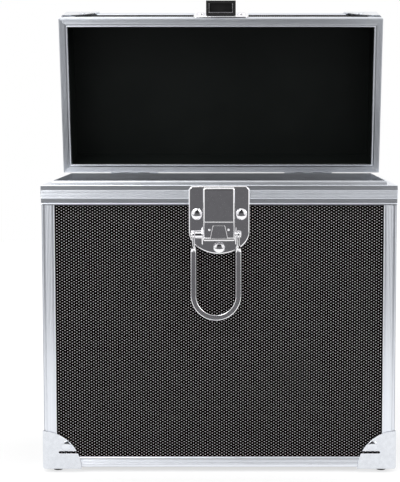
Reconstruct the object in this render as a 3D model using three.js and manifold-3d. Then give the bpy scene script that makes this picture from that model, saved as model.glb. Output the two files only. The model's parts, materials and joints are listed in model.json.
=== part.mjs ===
// Record carrying case with an open hinged lid, a bail latch and a folding handle.
// Lengths are in millimetres, +Z up.
// The origin is the middle of the base panel's underside. The front faces -Y.
import * as THREE from 'three';
import { mergeVertices } from 'three/addons/utils/BufferGeometryUtils.js';
import { RoundedBoxGeometry } from 'three/addons/geometries/RoundedBoxGeometry.js';
import Module from 'manifold-3d';

const wasm = await Module();
wasm.setup();

// Case, over the rim rails
const caseWidth = 345;
const caseDepth = 168;
const bodyHeight = 277;
const lidHeight = 64;
const lidOpening = 80;

// Walls
const panelThickness = 4.5;
const liningThickness = 1.2;
const seatGap = 0.3;
const fieldRise = 0.3;
const fieldCorner = 31;
const closingGap = 0.5;

// Angle extrusions
const flangeThickness = 1.2;
const postLeg = 12.4;
const edgeLeg = 10.5;
const angleRound = 3;
const grooveWidth = 0.7;
const grooveDepth = 0.35;
const postGrooves = 3;
const edgeGrooves = 2;

// Rim rails
const railProud = 1;
const railWidth = 9.3;
const railWall = 2;
const railRound = 4;
const bodyRailHeight = 18;
const lidRailHeight = 14;
const tongueHeight = 4.5;
const tongueThickness = 1.2;
const tongueClearance = 0.6;
const innerLipHeight = 10;
const innerLipThickness = 1;
const lidLipHeight = 5;
const railBandDepth = 0.5;
const railTopBand = 3.2;
const railRibGrooves = 4;
const railRibField = 9;
const railFootLip = 1.6;
const railCornerSteps = 3;
const lidRimLines = 3;

// Corner protectors
const protectorRadius = 37.5;
const protectorThickness = 1.2;
const protectorRound = 2.4;
const protectorRoundSteps = 3;
const protectorRivetPlace = 22.5;
const protectorRivetRadius = 4.2;
const slotWidth = 2.3;
const slotLength = 19;
const slotRise = 15.5;

// Feet
const footRadius = 6;
const footDrop = 3.2;
const footPlace = 12;
const footFlatShare = 0.55;
const footSteps = 4;

// Domed rivets
const domeShare = 0.42;
const rivetRadius = 5.6;
const shankRadius = 2;
const domeSteps = 3;

// Latch
const latchWidth = 59;
const latchHeight = 66;
const latchCornerCut = 3.2;
const latchStraight = 44;
const plateThickness = 1.6;
const latchTopDrop = 0.5;
const rivetSpread = 21.4;
const rivetDrop = 27;
const lowRivetDrop = 59.3;
const leverWidth = 30.4;
const leverWall = 1.5;
const leverProud = 13;
const leverTopDrop = 1.2;
const leverTopRound = 2.5;
const foldRise = 13;
const flapProud = 10;
const flapDrop = 4.5;
const leverHeel = 5.2;
const axleDrop = 47.1;
const axleOut = 6;
const axleRadius = 1.8;
const axleHeadRadius = 3;
const axleHeadThickness = 1.4;
const spacerRadius = 3.6;
const lugThickness = 2;
const lugPlace = 10;
const lugRadius = 2.9;
const lugStem = 3.8;

// Bail
const bailLength = 83;
const bailInnerWidth = 38;
const bailStrip = 5.3;
const bailThickness = 2.4;
const bailShift = 3;
const earThickness = 2.2;
const earLength = 16;
const eyeRadius = 3.4;
const bailBevel = 0.6;

// Catch on the lid
const catchHeight = 42;
const catchRise = 3;
const catchCornerRound = 12;
const hoodWidth = 30;
const hoodProud = 16;
const hoodRise = 5;
const hoodRadius = 15;
const hoodStraight = 5.5;
const hoodWall = 1.6;
const hoodNeck = 9;
const hoodLip = 0.8;
const hoodCavity = 12;
const catchRivetSpread = 21.5;
const catchRivetRise = 24;

// Hinges
const hingeSpread = 0.275 * caseWidth;
const hingeLength = 52;
const knuckles = 5;
const knuckleRadius = 2.8;
const knuckleGap = 0.4;
const hingePinRadius = 1.3;
const leafHeight = 12;
const leafThickness = 1.2;
const hingeOut = 3.2;

// Handle
const handleWidth = 136;
const handleReach = 40;
const handleLegWidth = 12;
const handleBar = 15;
const handleThickness = 11;
const handleRound = 14;
const handleBevel = 2.4;
const handleBevelSteps = 2;
const handleHeel = 4.2;
const handleInnerRound = 6;
const handleAxisRise = 6.2;
const handlePinRadius = 2.5;
const bracketLength = 24;
const bracketWidth = 22;
const bracketThickness = 1.6;
const bracketLug = 4;
const bracketLugRadius = 5;
const bracketRivetRadius = 3.4;

const cutOver = 2;
const fine = 16;
const coarse = 12;
const cornerSteps = 5;
const mergeTolerance = 1e-4;

// Heights and insets that follow
const baseDrop = seatGap + flangeThickness;
const rimTop = bodyHeight - baseDrop;
const outerX = caseWidth / 2 - railProud;
const outerY = caseDepth / 2 - railProud;
const panelInset = flangeThickness + seatGap;
const coreSide = panelInset + panelThickness;
const liningInset = coreSide + seatGap;
const tongueInset = railWidth + tongueClearance;
const hingeY = caseDepth / 2 + hingeOut;
const hingeZ = rimTop + closingGap / 2;
const lidBottom = closingGap / 2;
const lidTop = lidBottom + lidHeight;

const aluminium = { color: 0xc3c7cd, roughness: 0.35, metalness: 1 };
const chrome = { color: 0xb9bac0, roughness: 0.12, metalness: 1 };
const pressedSteel = { color: 0xd2d6dc, roughness: 0.2, metalness: 1 };
const dimpledBlack = { color: 0x0d0d0e, roughness: 0.5, metalness: 0 };
const blackLining = { color: 0x121414, roughness: 0.75, metalness: 0 };
const blackPlastic = { color: 0x151515, roughness: 0.45, metalness: 0 };
const blackRubber = { color: 0x101010, roughness: 0.85, metalness: 0 };

const alongX = new THREE.Vector3(1, 0, 0);
const alongY = new THREE.Vector3(0, 1, 0);
const alongZ = new THREE.Vector3(0, 0, 1);

const recordCase = new THREE.Group();
const body = new THREE.Group();
const lid = new THREE.Group();
recordCase.add(body, lid);
lid.position.set(0, hingeY, hingeZ);
lid.rotation.x = THREE.MathUtils.degToRad(-lidOpening);

// Joining and cutting
function solidOf(geometry) {
  const bare = geometry.clone();
  bare.deleteAttribute('normal');
  bare.deleteAttribute('uv');
  const merged = mergeVertices(bare, mergeTolerance);
  return new wasm.Manifold(new wasm.Mesh({
    numProp: 3,
    vertProperties: Float32Array.from(merged.attributes.position.array),
    triVerts: Uint32Array.from(merged.index.array),
  }));
}

function geometryOf(solid) {
  const mesh = solid.getMesh();
  const geometry = new THREE.BufferGeometry();
  geometry.setAttribute('position', new THREE.Float32BufferAttribute(mesh.vertProperties, 3));
  geometry.setIndex(Array.from(mesh.triVerts));
  return geometry;
}

function joined(geometries) {
  return geometries.map(solidOf).reduce((whole, part) => whole.add(part));
}

function carved(geometries, cuts) {
  return geometryOf(cuts.map(solidOf).reduce((whole, cut) => whole.subtract(cut), joined(geometries)));
}

// Naming and placing
function piece(name, geometry, finish, group) {
  const mesh = new THREE.Mesh(geometry, new THREE.MeshStandardMaterial(finish));
  mesh.name = name;
  group.add(mesh);
  return mesh;
}

function turnTo(mesh, first, second, third) {
  mesh.quaternion.setFromRotationMatrix(new THREE.Matrix4().makeBasis(first, second, third));
}

function boxAt(sizeX, sizeY, sizeZ, x, y, z) {
  return new THREE.BoxGeometry(sizeX, sizeY, sizeZ).translate(x, y, z);
}

function rodAlongX(radius, from, to, y, z, sides = fine) {
  return new THREE.CylinderGeometry(radius, radius, to - from, sides)
    .rotateZ(Math.PI / 2)
    .translate((from + to) / 2, y, z);
}

// A low dome on a short shank, its head's seat at height zero and its dome towards +Z.
function rivetGeometry(radius, shankLength) {
  const rise = radius * domeShare;
  const profile = [new THREE.Vector2(0, -shankLength), new THREE.Vector2(shankRadius, -shankLength)];
  profile.push(new THREE.Vector2(shankRadius, 0), new THREE.Vector2(radius, 0));
  for (let step = 1; step < domeSteps; step += 1) {
    const angle = (step / domeSteps) * (Math.PI / 2);
    profile.push(new THREE.Vector2(radius * Math.cos(angle), rise * Math.sin(angle)));
  }
  profile.push(new THREE.Vector2(0, rise));
  return new THREE.LatheGeometry(profile, coarse).rotateX(Math.PI / 2);
}

// Panels, posts and edges
function grooveEdge(from, to, count) {
  const points = [];
  for (let index = 1; index <= count; index += 1) {
    const middle = from + (index * (to - from)) / (count + 1);
    points.push([middle - grooveWidth / 2, 0], [middle - grooveWidth / 2, grooveDepth]);
    points.push([middle + grooveWidth / 2, grooveDepth], [middle + grooveWidth / 2, 0]);
  }
  return points;
}

function angleGeometry(length, leg, grooves) {
  const shape = new THREE.Shape();
  const ribs = grooveEdge(angleRound, leg, grooves);
  shape.moveTo(angleRound, 0);
  ribs.forEach(([along, deep]) => shape.lineTo(along, deep));
  shape.lineTo(leg, 0);
  shape.lineTo(leg, flangeThickness);
  shape.lineTo(coreSide, flangeThickness);
  shape.lineTo(coreSide, coreSide);
  shape.lineTo(flangeThickness, coreSide);
  shape.lineTo(flangeThickness, leg);
  shape.lineTo(0, leg);
  ribs.reverse().forEach(([along, deep]) => shape.lineTo(deep, along));
  shape.lineTo(0, angleRound);
  shape.absarc(angleRound, angleRound, angleRound, Math.PI, 1.5 * Math.PI);
  const settings = { depth: length, bevelEnabled: false, curveSegments: cornerSteps };
  return new THREE.ExtrudeGeometry(shape, settings).translate(0, 0, -length / 2);
}

// The outer corner runs through the given middle, and the two legs point along the two directions.
function angleBar(name, length, leg, grooves, middle, firstLeg, secondLeg, group) {
  const bar = piece(name, angleGeometry(length, leg, grooves), aluminium, group);
  turnTo(bar, firstLeg, secondLeg, new THREE.Vector3().crossVectors(firstLeg, secondLeg));
  bar.position.copy(middle);
}

function panel(name, sizeX, sizeY, sizeZ, x, y, z, group) {
  piece(name, boxAt(sizeX, sizeY, sizeZ, x, y, z), dimpledBlack, group);
}

// Four walls between two heights, their outer faces set in behind the flanges.
function wallPanels(prefix, low, high, middleY, group) {
  const height = high - low;
  const z = (high + low) / 2;
  const longSide = 2 * (outerX - coreSide - seatGap);
  const shortSide = 2 * (outerY - coreSide - seatGap);
  const wallY = outerY - panelInset - panelThickness / 2;
  const wallX = outerX - panelInset - panelThickness / 2;
  panel(`${prefix}_front_panel`, longSide, panelThickness, height, 0, middleY - wallY, z, group);
  panel(`${prefix}_back_panel`, longSide, panelThickness, height, 0, middleY + wallY, z, group);
  panel(`${prefix}_left_panel`, panelThickness, shortSide, height, -wallX, middleY, z, group);
  panel(`${prefix}_right_panel`, panelThickness, shortSide, height, wallX, middleY, z, group);
}

// The base panel's open field stands a little proud of the margins that the bars and protectors cover.
function basePanel() {
  const inset = coreSide + seatGap;
  const marginThickness = panelThickness - fieldRise;
  const margin = boxAt(2 * (outerX - inset), 2 * (outerY - inset), marginThickness, 0, 0,
    fieldRise + marginThickness / 2);
  const x = outerX - edgeLeg - seatGap;
  const y = outerY - edgeLeg - seatGap;
  const shape = new THREE.Shape();
  shape.moveTo(x, -y + fieldCorner);
  shape.lineTo(x, y - fieldCorner);
  shape.lineTo(x - fieldCorner, y);
  shape.lineTo(-x + fieldCorner, y);
  shape.lineTo(-x, y - fieldCorner);
  shape.lineTo(-x, -y + fieldCorner);
  shape.lineTo(-x + fieldCorner, -y);
  shape.lineTo(x - fieldCorner, -y);
  const field = new THREE.ExtrudeGeometry(shape, { depth: 2 * fieldRise, bevelEnabled: false });
  piece('base_panel', carved([margin, field], []), dimpledBlack, body);
}

function topPanel() {
  const inset = coreSide + seatGap;
  const sizeX = 2 * (outerX - inset);
  const sizeY = 2 * (outerY - inset);
  const z = lidTopFace - panelThickness / 2;
  panel('lid_top_panel', sizeX, sizeY, panelThickness, 0, -hingeY, z, lid);
}

function cornerPosts(prefix, low, high, middleY, group) {
  [['front', -1], ['back', 1]].forEach(([depthWord, sideY]) => {
    [['left', -1], ['right', 1]].forEach(([widthWord, sideX]) => {
      const inX = alongX.clone().multiplyScalar(-sideX);
      const inY = alongY.clone().multiplyScalar(-sideY);
      const legs = sideX * sideY > 0 ? [inX, inY] : [inY, inX];
      const middle = new THREE.Vector3(sideX * outerX, middleY + sideY * outerY, (low + high) / 2);
      const name = `${prefix}_${depthWord}_${widthWord}_post`;
      angleBar(name, high - low, postLeg, postGrooves, middle, ...legs, group);
    });
  });
}

function edgeBars(prefix, z, inward, middleY, group) {
  const inZ = alongZ.clone().multiplyScalar(inward);
  const longRun = 2 * (outerX - postLeg - seatGap);
  const shortRun = 2 * (outerY - postLeg - seatGap);
  [['front', -1], ['back', 1]].forEach(([word, side]) => {
    const inY = alongY.clone().multiplyScalar(-side);
    const middle = new THREE.Vector3(0, middleY + side * outerY, z);
    angleBar(`${prefix}_${word}_edge`, longRun, edgeLeg, edgeGrooves, middle, inY, inZ, group);
  });
  [['left', -1], ['right', 1]].forEach(([word, side]) => {
    const inX = alongX.clone().multiplyScalar(-side);
    const middle = new THREE.Vector3(side * outerX, middleY, z);
    angleBar(`${prefix}_${word}_edge`, shortRun, edgeLeg, edgeGrooves, middle, inX, inZ, group);
  });
}

// Linings and rims
function roundedOutline(inset, round, Kind = THREE.Shape) {
  const x = caseWidth / 2 - inset;
  const y = caseDepth / 2 - inset;
  const outline = new Kind();
  outline.moveTo(x, -y + round);
  outline.absarc(x - round, y - round, round, 0, Math.PI / 2);
  outline.absarc(-x + round, y - round, round, Math.PI / 2, Math.PI);
  outline.absarc(-x + round, -y + round, round, Math.PI, 1.5 * Math.PI);
  outline.absarc(x - round, -y + round, round, 1.5 * Math.PI, 2 * Math.PI);
  return outline;
}

function ringSlab(outerInset, innerInset, low, high, middleY) {
  const round = (inset) => Math.max(railRound - inset, railRound / 4);
  const shape = roundedOutline(outerInset, round(outerInset));
  shape.holes.push(roundedOutline(innerInset, round(innerInset), THREE.Path));
  const settings = { depth: high - low, bevelEnabled: false, curveSegments: railCornerSteps };
  return new THREE.ExtrudeGeometry(shape, settings).translate(0, middleY, low);
}

function plateSlab(inset, low, high, middleY) {
  const settings = { depth: high - low, bevelEnabled: false, curveSegments: railCornerSteps };
  return new THREE.ExtrudeGeometry(roundedOutline(inset, railRound / 4), settings)
    .translate(0, middleY, low);
}

const liningOuter = railProud + liningInset;
const liningInner = liningOuter + liningThickness;

function lining(name, wallLow, wallHigh, floorLow, floorHigh, middleY, group) {
  const walls = ringSlab(liningOuter, liningInner, wallLow, wallHigh, middleY);
  const floor = plateSlab(liningOuter, floorLow, floorHigh, middleY);
  piece(name, carved([walls, floor], []), blackLining, group);
}

// A ribbed outer skin, a flat top and an inner lip that carries the raised tongue.
function bodyRim() {
  const skinInner = railProud + flangeThickness;
  const lipOuter = railWidth + tongueClearance / 4;
  const lipInner = tongueInset + tongueThickness;
  const skin = ringSlab(0, skinInner, rimTop - bodyRailHeight, rimTop, 0);
  const top = ringSlab(0, lipInner, rimTop - railWall, rimTop, 0);
  const lip = ringSlab(lipOuter, lipInner, rimTop - innerLipHeight, rimTop, 0);
  const tongue = ringSlab(tongueInset, lipInner, rimTop - railWall, rimTop + tongueHeight, 0);
  const cuts = [];
  const topBandLow = rimTop - railTopBand;
  cuts.push(outerBand(topBandLow, rimTop - railBandDepth));
  for (let rib = 1; rib <= railRibGrooves; rib += 1) {
    const z = topBandLow - (rib * railRibField) / (railRibGrooves + 1);
    cuts.push(outerBand(z - grooveWidth / 2, z + grooveWidth / 2));
  }
  cuts.push(outerBand(rimTop - bodyRailHeight + railFootLip, topBandLow - railRibField));
  piece('body_rim', carved([skin, top, lip, tongue], cuts), aluminium, body);
}

function outerBand(low, high) {
  return ringSlab(-cutOver, railBandDepth, low, high, 0);
}

function lidRim() {
  const skinInner = railProud + flangeThickness;
  const skin = ringSlab(0, skinInner, lidBottom, lidBottom + lidRailHeight, -hingeY);
  const face = ringSlab(0, railWidth, lidBottom, lidBottom + railWall, -hingeY);
  const lipOuter = railWidth - innerLipThickness;
  const lip = ringSlab(lipOuter, railWidth, lidBottom, lidBottom + lidLipHeight, -hingeY);
  const cuts = [];
  for (let line = 1; line <= lidRimLines; line += 1) {
    const inset = (line * lipOuter) / (lidRimLines + 1);
    const half = grooveWidth / 2;
    const low = lidBottom - cutOver;
    cuts.push(ringSlab(inset - half, inset + half, low, lidBottom + grooveDepth, -hingeY));
  }
  piece('lid_rim', carved([skin, face, lip], cuts), aluminium, lid);
}

// Corner protectors: a rounded shell over three faces, cut round by a sphere at the corner, with a
// rivet on each face and a slot from the arc on the two upright faces.
function protectorGeometry() {
  const off = seatGap + protectorThickness;
  const side = 2 * protectorRadius;
  const middle = protectorRadius;
  const outer = new RoundedBoxGeometry(side, side, side, protectorRoundSteps, protectorRound)
    .translate(middle - off, middle - off, middle - off);
  const inner = boxAt(side, side, side, middle - seatGap, middle - seatGap, middle - seatGap);
  const ball = new THREE.SphereGeometry(protectorRadius, 2 * fine, fine).translate(-off, -off, -off);
  const slotMiddle = protectorRadius - slotLength / 2;
  const slots = [
    boxAt(slotLength, 2 * off, slotWidth, slotMiddle, -off, slotRise),
    boxAt(2 * off, slotLength, slotWidth, -off, slotMiddle, slotRise),
  ];
  const head = rivetGeometry(protectorRivetRadius, protectorThickness / 2);
  const place = protectorRivetPlace;
  const rivets = [
    head.clone().rotateX(Math.PI / 2).translate(place, -off, place),
    head.clone().rotateY(-Math.PI / 2).translate(-off, place, place),
    head.clone().rotateX(Math.PI).translate(place, place, -off),
  ];
  const shell = solidOf(outer).subtract(solidOf(inner)).intersect(solidOf(ball));
  const slotted = slots.map(solidOf).reduce((whole, slot) => whole.subtract(slot), shell);
  return geometryOf(rivets.map(solidOf).reduce((whole, rivet) => whole.add(rivet), slotted));
}

function protectors(prefix, z, inward, middleY, group) {
  const geometry = protectorGeometry();
  [['front', -1], ['back', 1]].forEach(([depthWord, sideY]) => {
    [['left', -1], ['right', 1]].forEach(([widthWord, sideX]) => {
      const name = `${prefix}_${depthWord}_${widthWord}_protector`;
      const shell = piece(name, geometry.clone(), pressedSteel, group);
      const inX = alongX.clone().multiplyScalar(-sideX);
      const inY = alongY.clone().multiplyScalar(-sideY);
      const inZ = alongZ.clone().multiplyScalar(inward);
      const axes = sideX * sideY * inward > 0 ? [inX, inY, inZ] : [inY, inX, inZ];
      turnTo(shell, ...axes);
      shell.position.set(sideX * outerX, middleY + sideY * outerY, z);
    });
  });
}

// Rubber feet: low domes that stand under the base protectors.
function feet() {
  const seat = -baseDrop - seatGap - protectorThickness - seatGap;
  [['front', -1], ['back', 1]].forEach(([depthWord, sideY]) => {
    [['left', -1], ['right', 1]].forEach(([widthWord, sideX]) => {
      const profile = [new THREE.Vector2(0, 0), new THREE.Vector2(footRadius, 0)];
      for (let step = 1; step <= footSteps; step += 1) {
        const angle = (step / footSteps) * (Math.PI / 2);
        const radius = footRadius * (1 - footFlatShare) * Math.cos(angle) + footRadius * footFlatShare;
        profile.push(new THREE.Vector2(radius, footDrop * Math.sin(angle)));
      }
      profile.push(new THREE.Vector2(0, footDrop));
      const name = `${depthWord}_${widthWord}_foot`;
      const geometry = new THREE.LatheGeometry(profile, fine).rotateX(-Math.PI / 2);
      const foot = piece(name, geometry, blackRubber, body);
      foot.position.set(sideX * (outerX - footPlace), sideY * (outerY - footPlace), seat);
    });
  });
}

// Latch and catch: plates that lie on the rail and reach back to the panel below it
const railFace = -caseDepth / 2;
const panelFace = -(outerY - panelInset);
const plateBack = railFace - seatGap;
const plateFace = plateBack - plateThickness;
const axleY = plateFace - axleOut;
const axleZ = rimTop - axleDrop;

function frontExtrusion(shape, depth, backY, z, steps = fine) {
  return new THREE.ExtrudeGeometry(shape, { depth, bevelEnabled: false, curveSegments: steps })
    .rotateX(Math.PI / 2)
    .translate(0, backY, z);
}

function sideExtrusion(shape, width) {
  const turn = new THREE.Matrix4().makeBasis(alongY.clone().negate(), alongZ, alongX.clone().negate());
  const settings = { depth: width, bevelEnabled: false, curveSegments: cornerSteps };
  return new THREE.ExtrudeGeometry(shape, settings).translate(0, 0, -width / 2).applyMatrix4(turn);
}

function latchOutline() {
  const half = latchWidth / 2;
  const shape = new THREE.Shape();
  shape.moveTo(-half, -latchStraight);
  shape.lineTo(-half, -latchCornerCut);
  shape.lineTo(-half + latchCornerCut, 0);
  shape.lineTo(half - latchCornerCut, 0);
  shape.lineTo(half, -latchCornerCut);
  shape.lineTo(half, -latchStraight);
  shape.absellipse(0, -latchStraight, half, latchHeight - latchStraight, 0, -Math.PI, true);
  return shape;
}

function lugs() {
  return [-lugPlace, lugPlace].flatMap((x) => {
    const from = x - lugThickness / 2;
    const to = x + lugThickness / 2;
    const stem = boxAt(lugThickness, axleOut + plateThickness / 2, lugStem, x,
      plateFace - axleOut / 2 + plateThickness / 4, axleZ);
    return [stem, rodAlongX(lugRadius, from, to, axleY, axleZ)];
  });
}

function rivetSeats() {
  const upper = rimTop - latchTopDrop - rivetDrop;
  const lower = rimTop - latchTopDrop - lowRivetDrop;
  return [['left', -rivetSpread, upper], ['right', rivetSpread, upper], ['bottom', 0, lower]];
}

function latchPlate() {
  const reach = panelFace - seatGap - plateFace;
  const top = rimTop - latchTopDrop;
  const plate = frontExtrusion(latchOutline(), reach, panelFace - seatGap, top);
  const railRoom = bodyRailHeight + seatGap;
  const overRail = boxAt(latchWidth + cutOver, panelFace - plateBack, railRoom, 0,
    (panelFace + plateBack) / 2, rimTop - railRoom / 2);
  const bore = rodAlongX(axleRadius + seatGap, -latchWidth / 2, latchWidth / 2, axleY, axleZ);
  const hole = shankRadius + seatGap;
  const holes = rivetSeats().map(([, x, z]) => (
    new THREE.CylinderGeometry(hole, hole, 2 * reach + cutOver, coarse).translate(x, plateFace, z)));
  piece('latch_plate', carved([plate, ...lugs()], [overRail, bore, ...holes]), chrome, body);
}

function latchRivets() {
  rivetSeats().forEach(([word, x, z]) => {
    const rivet = rivetGeometry(rivetRadius, plateThickness).rotateX(Math.PI / 2);
    piece(`latch_${word}_rivet`, rivet, chrome, body).position.set(x, plateFace, z);
  });
}

// The lever's side outline, outwards from the plate and up from the axle.
function leverOutline(top) {
  const shape = new THREE.Shape();
  shape.moveTo(axleOut, -leverHeel);
  shape.lineTo(flapProud, -flapDrop);
  shape.lineTo(leverProud, foldRise);
  shape.lineTo(leverProud, top - leverTopRound);
  shape.absarc(leverProud - leverTopRound, top - leverTopRound, leverTopRound, 0, Math.PI / 2);
  shape.lineTo(axleOut - leverHeel, top);
  shape.lineTo(axleOut - leverHeel, 0);
  shape.absarc(axleOut, 0, leverHeel, Math.PI, 1.5 * Math.PI);
  return shape;
}

function leverHollow(top) {
  const shape = new THREE.Shape();
  const back = -cutOver;
  const low = -leverHeel - cutOver;
  shape.moveTo(back, low);
  shape.lineTo(flapProud - leverWall, low);
  shape.lineTo(flapProud - leverWall, -flapDrop);
  shape.lineTo(leverProud - leverWall, foldRise);
  shape.lineTo(leverProud - leverWall, top - leverWall);
  shape.lineTo(back, top - leverWall);
  return shape;
}

function lever() {
  const top = axleDrop - leverTopDrop;
  const outer = sideExtrusion(leverOutline(top), leverWidth);
  const hollow = sideExtrusion(leverHollow(top), leverWidth - 2 * leverWall);
  const bore = rodAlongX(axleRadius + seatGap, -leverWidth, leverWidth, -axleOut, 0);
  const mesh = piece('latch_lever', carved([outer], [hollow, bore]), chrome, body);
  mesh.position.set(0, plateFace, axleZ);
}

const bailOuterHalf = bailInnerWidth / 2 + bailStrip;
const earPlace = (bailInnerWidth + bailStrip) / 2;

function axle() {
  const leftEnd = -bailShift - earPlace - earThickness / 2 - seatGap;
  const rightEnd = -bailShift + earPlace + earThickness / 2 + seatGap;
  const spacerLeft = -bailShift - earPlace + earThickness / 2 + seatGap;
  const spacerRight = -leverWidth / 2 - seatGap;
  const parts = [
    rodAlongX(axleRadius, leftEnd - axleHeadThickness / 2, rightEnd + axleHeadThickness / 2, 0, 0),
    rodAlongX(axleHeadRadius, leftEnd - axleHeadThickness, leftEnd, 0, 0),
    rodAlongX(axleHeadRadius, rightEnd, rightEnd + axleHeadThickness, 0, 0),
    rodAlongX(spacerRadius, spacerLeft, spacerRight, 0, 0),
  ];
  piece('latch_axle', carved(parts, []), chrome, body).position.set(0, axleY, axleZ);
}

function bailOutline() {
  const inner = bailInnerWidth / 2;
  const low = -(bailLength - bailOuterHalf);
  const top = -(earLength - bailStrip / 2);
  const shape = new THREE.Shape();
  shape.moveTo(bailOuterHalf, top);
  shape.lineTo(inner, top);
  shape.lineTo(inner, low);
  shape.absarc(0, low, inner, 0, -Math.PI, true);
  shape.lineTo(-inner, top);
  shape.lineTo(-bailOuterHalf, top);
  shape.lineTo(-bailOuterHalf, low);
  shape.absarc(0, low, bailOuterHalf, Math.PI, 2 * Math.PI);
  return shape;
}

// A flat strip bent to a long U, its two ends turned edge-on as ears with an eye for the axle.
function bail() {
  const loop = new THREE.ExtrudeGeometry(bailOutline(), {
    depth: bailThickness - 2 * bailBevel,
    bevelThickness: bailBevel,
    bevelSize: bailBevel,
    bevelOffset: -bailBevel,
    bevelSegments: 1,
    curveSegments: coarse,
  }).rotateX(Math.PI / 2).translate(0, bailThickness / 2 - bailBevel, 0);
  const ears = [-earPlace, earPlace].flatMap((x) => [
    boxAt(earThickness, bailStrip, earLength, x, 0, -earLength / 2),
    rodAlongX(eyeRadius, x - earThickness / 2, x + earThickness / 2, 0, 0),
  ]);
  const eye = rodAlongX(axleRadius + seatGap, -bailOuterHalf, bailOuterHalf, 0, 0);
  const mesh = piece('bail', carved([loop, ...ears], [eye]), chrome, body);
  mesh.position.set(-bailShift, axleY, axleZ);
}

function catchOutline() {
  const half = latchWidth / 2;
  const round = catchCornerRound;
  const shape = new THREE.Shape();
  shape.moveTo(half - latchCornerCut, 0);
  shape.lineTo(half, latchCornerCut);
  shape.lineTo(half, catchHeight - round);
  shape.absarc(half - round, catchHeight - round, round, 0, Math.PI / 2);
  shape.absarc(-half + round, catchHeight - round, round, Math.PI / 2, Math.PI);
  shape.lineTo(-half, latchCornerCut);
  shape.lineTo(-half + latchCornerCut, 0);
  return shape;
}

function hoodOutline(grow) {
  const half = hoodWidth / 2 + grow;
  const shape = new THREE.Shape();
  shape.moveTo(half, 0);
  shape.lineTo(half, hoodStraight);
  shape.absarc(0, hoodStraight, hoodRadius + grow, 0, Math.PI);
  shape.lineTo(-half, 0);
  return shape;
}

// The plate and hood that the bail's round end closes over, in the lid's own frame.
function lidCatch() {
  const railFront = railFace - hingeY;
  const panelFront = panelFace - hingeY;
  const back = railFront - seatGap;
  const face = back - plateThickness;
  const reach = panelFront - seatGap - face;
  const low = lidBottom + catchRise;
  const hoodLow = low + hoodRise;
  const plate = frontExtrusion(catchOutline(), reach, panelFront - seatGap, low, cornerSteps);
  const overRail = boxAt(latchWidth + cutOver, panelFront - back, 2 * lidRailHeight, 0,
    (panelFront + back) / 2, lidBottom + seatGap);
  const hoodDepth = hoodProud + plateThickness / 2;
  const hood = frontExtrusion(hoodOutline(0), hoodDepth, face + plateThickness / 2, hoodLow);
  const rimLip = frontExtrusion(hoodOutline(hoodLip), hoodProud - hoodNeck, face - hoodNeck, hoodLow);
  const cavityDepth = hoodProud - 2 * hoodWall;
  const cavity = boxAt(hoodWidth - 2 * hoodWall, cavityDepth, hoodCavity, 0,
    face - hoodWall - cavityDepth / 2, hoodLow + hoodCavity / 2 - hoodWall);
  const head = rivetGeometry(rivetRadius, plateThickness / 2).rotateX(Math.PI / 2);
  const rivetZ = low + catchRivetRise;
  const rivetSpots = [-catchRivetSpread, catchRivetSpread];
  const rivets = rivetSpots.map((x) => head.clone().translate(x, face, rivetZ));
  const plateOnly = solidOf(plate).subtract(solidOf(overRail));
  const whole = [hood, rimLip, ...rivets].map(solidOf).reduce((sum, part) => sum.add(part), plateOnly);
  piece('lid_catch', geometryOf(whole.subtract(solidOf(cavity))), chrome, lid);
}

// Hinges: two leaves whose knuckles take turns along one pin
function leafGeometry(side, parity) {
  const near = knuckleRadius + knuckleGap;
  const y = -hingeOut + seatGap + leafThickness / 2;
  const pitch = (hingeLength + knuckleGap) / knuckles;
  const plateMiddle = side * (near + leafHeight / 2);
  const parts = [boxAt(hingeLength, leafThickness, leafHeight, 0, y, plateMiddle)];
  for (let index = parity; index < knuckles; index += 2) {
    const from = -hingeLength / 2 + index * pitch;
    const to = from + pitch - knuckleGap;
    const tabReach = near + leafThickness;
    parts.push(rodAlongX(knuckleRadius, from, to, 0, 0, coarse));
    parts.push(boxAt(to - from, leafThickness, tabReach, (from + to) / 2, y, (side * tabReach) / 2));
  }
  const bore = rodAlongX(hingePinRadius + seatGap, -hingeLength, hingeLength, 0, 0, coarse);
  return carved(parts, [bore]);
}

function hinges() {
  [['left', -hingeSpread], ['right', hingeSpread]].forEach(([word, x]) => {
    const bodyLeaf = piece(`${word}_hinge_body_leaf`, leafGeometry(-1, 0), pressedSteel, body);
    bodyLeaf.position.set(x, hingeY, hingeZ);
    const lidLeaf = piece(`${word}_hinge_lid_leaf`, leafGeometry(1, 1), pressedSteel, lid);
    lidLeaf.position.set(x, 0, 0);
    const half = hingeLength / 2 + seatGap;
    const parts = [
      rodAlongX(hingePinRadius, -half - leafThickness / 2, half + leafThickness / 2, 0, 0, coarse),
      rodAlongX(knuckleRadius, -half - leafThickness, -half, 0, 0, coarse),
      rodAlongX(knuckleRadius, half, half + leafThickness, 0, 0, coarse),
    ];
    const pin = piece(`${word}_hinge_pin`, carved(parts, []), pressedSteel, body);
    pin.position.set(x, hingeY, hingeZ);
  });
}

// Handle: a moulded grip between two brackets on the lid's top panel, folded towards the hinges
const lidTopFace = lidTop - panelInset;
const handleZ = lidTopFace + handleAxisRise;

function handleOutline() {
  const half = handleWidth / 2;
  const inner = half - handleLegWidth;
  const outerMiddle = handleReach - handleRound;
  const innerRound = handleInnerRound;
  const innerMiddle = handleReach - handleBar - innerRound;
  const shape = new THREE.Shape();
  shape.moveTo(half, -handleHeel);
  shape.lineTo(half, outerMiddle);
  shape.absarc(half - handleRound, outerMiddle, handleRound, 0, Math.PI / 2);
  shape.absarc(-half + handleRound, outerMiddle, handleRound, Math.PI / 2, Math.PI);
  shape.lineTo(-half, -handleHeel);
  shape.lineTo(-inner, -handleHeel);
  shape.lineTo(-inner, innerMiddle);
  shape.absarc(-inner + innerRound, innerMiddle, innerRound, Math.PI, Math.PI / 2, true);
  shape.absarc(inner - innerRound, innerMiddle, innerRound, Math.PI / 2, 0, true);
  shape.lineTo(inner, -handleHeel);
  return shape;
}

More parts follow.
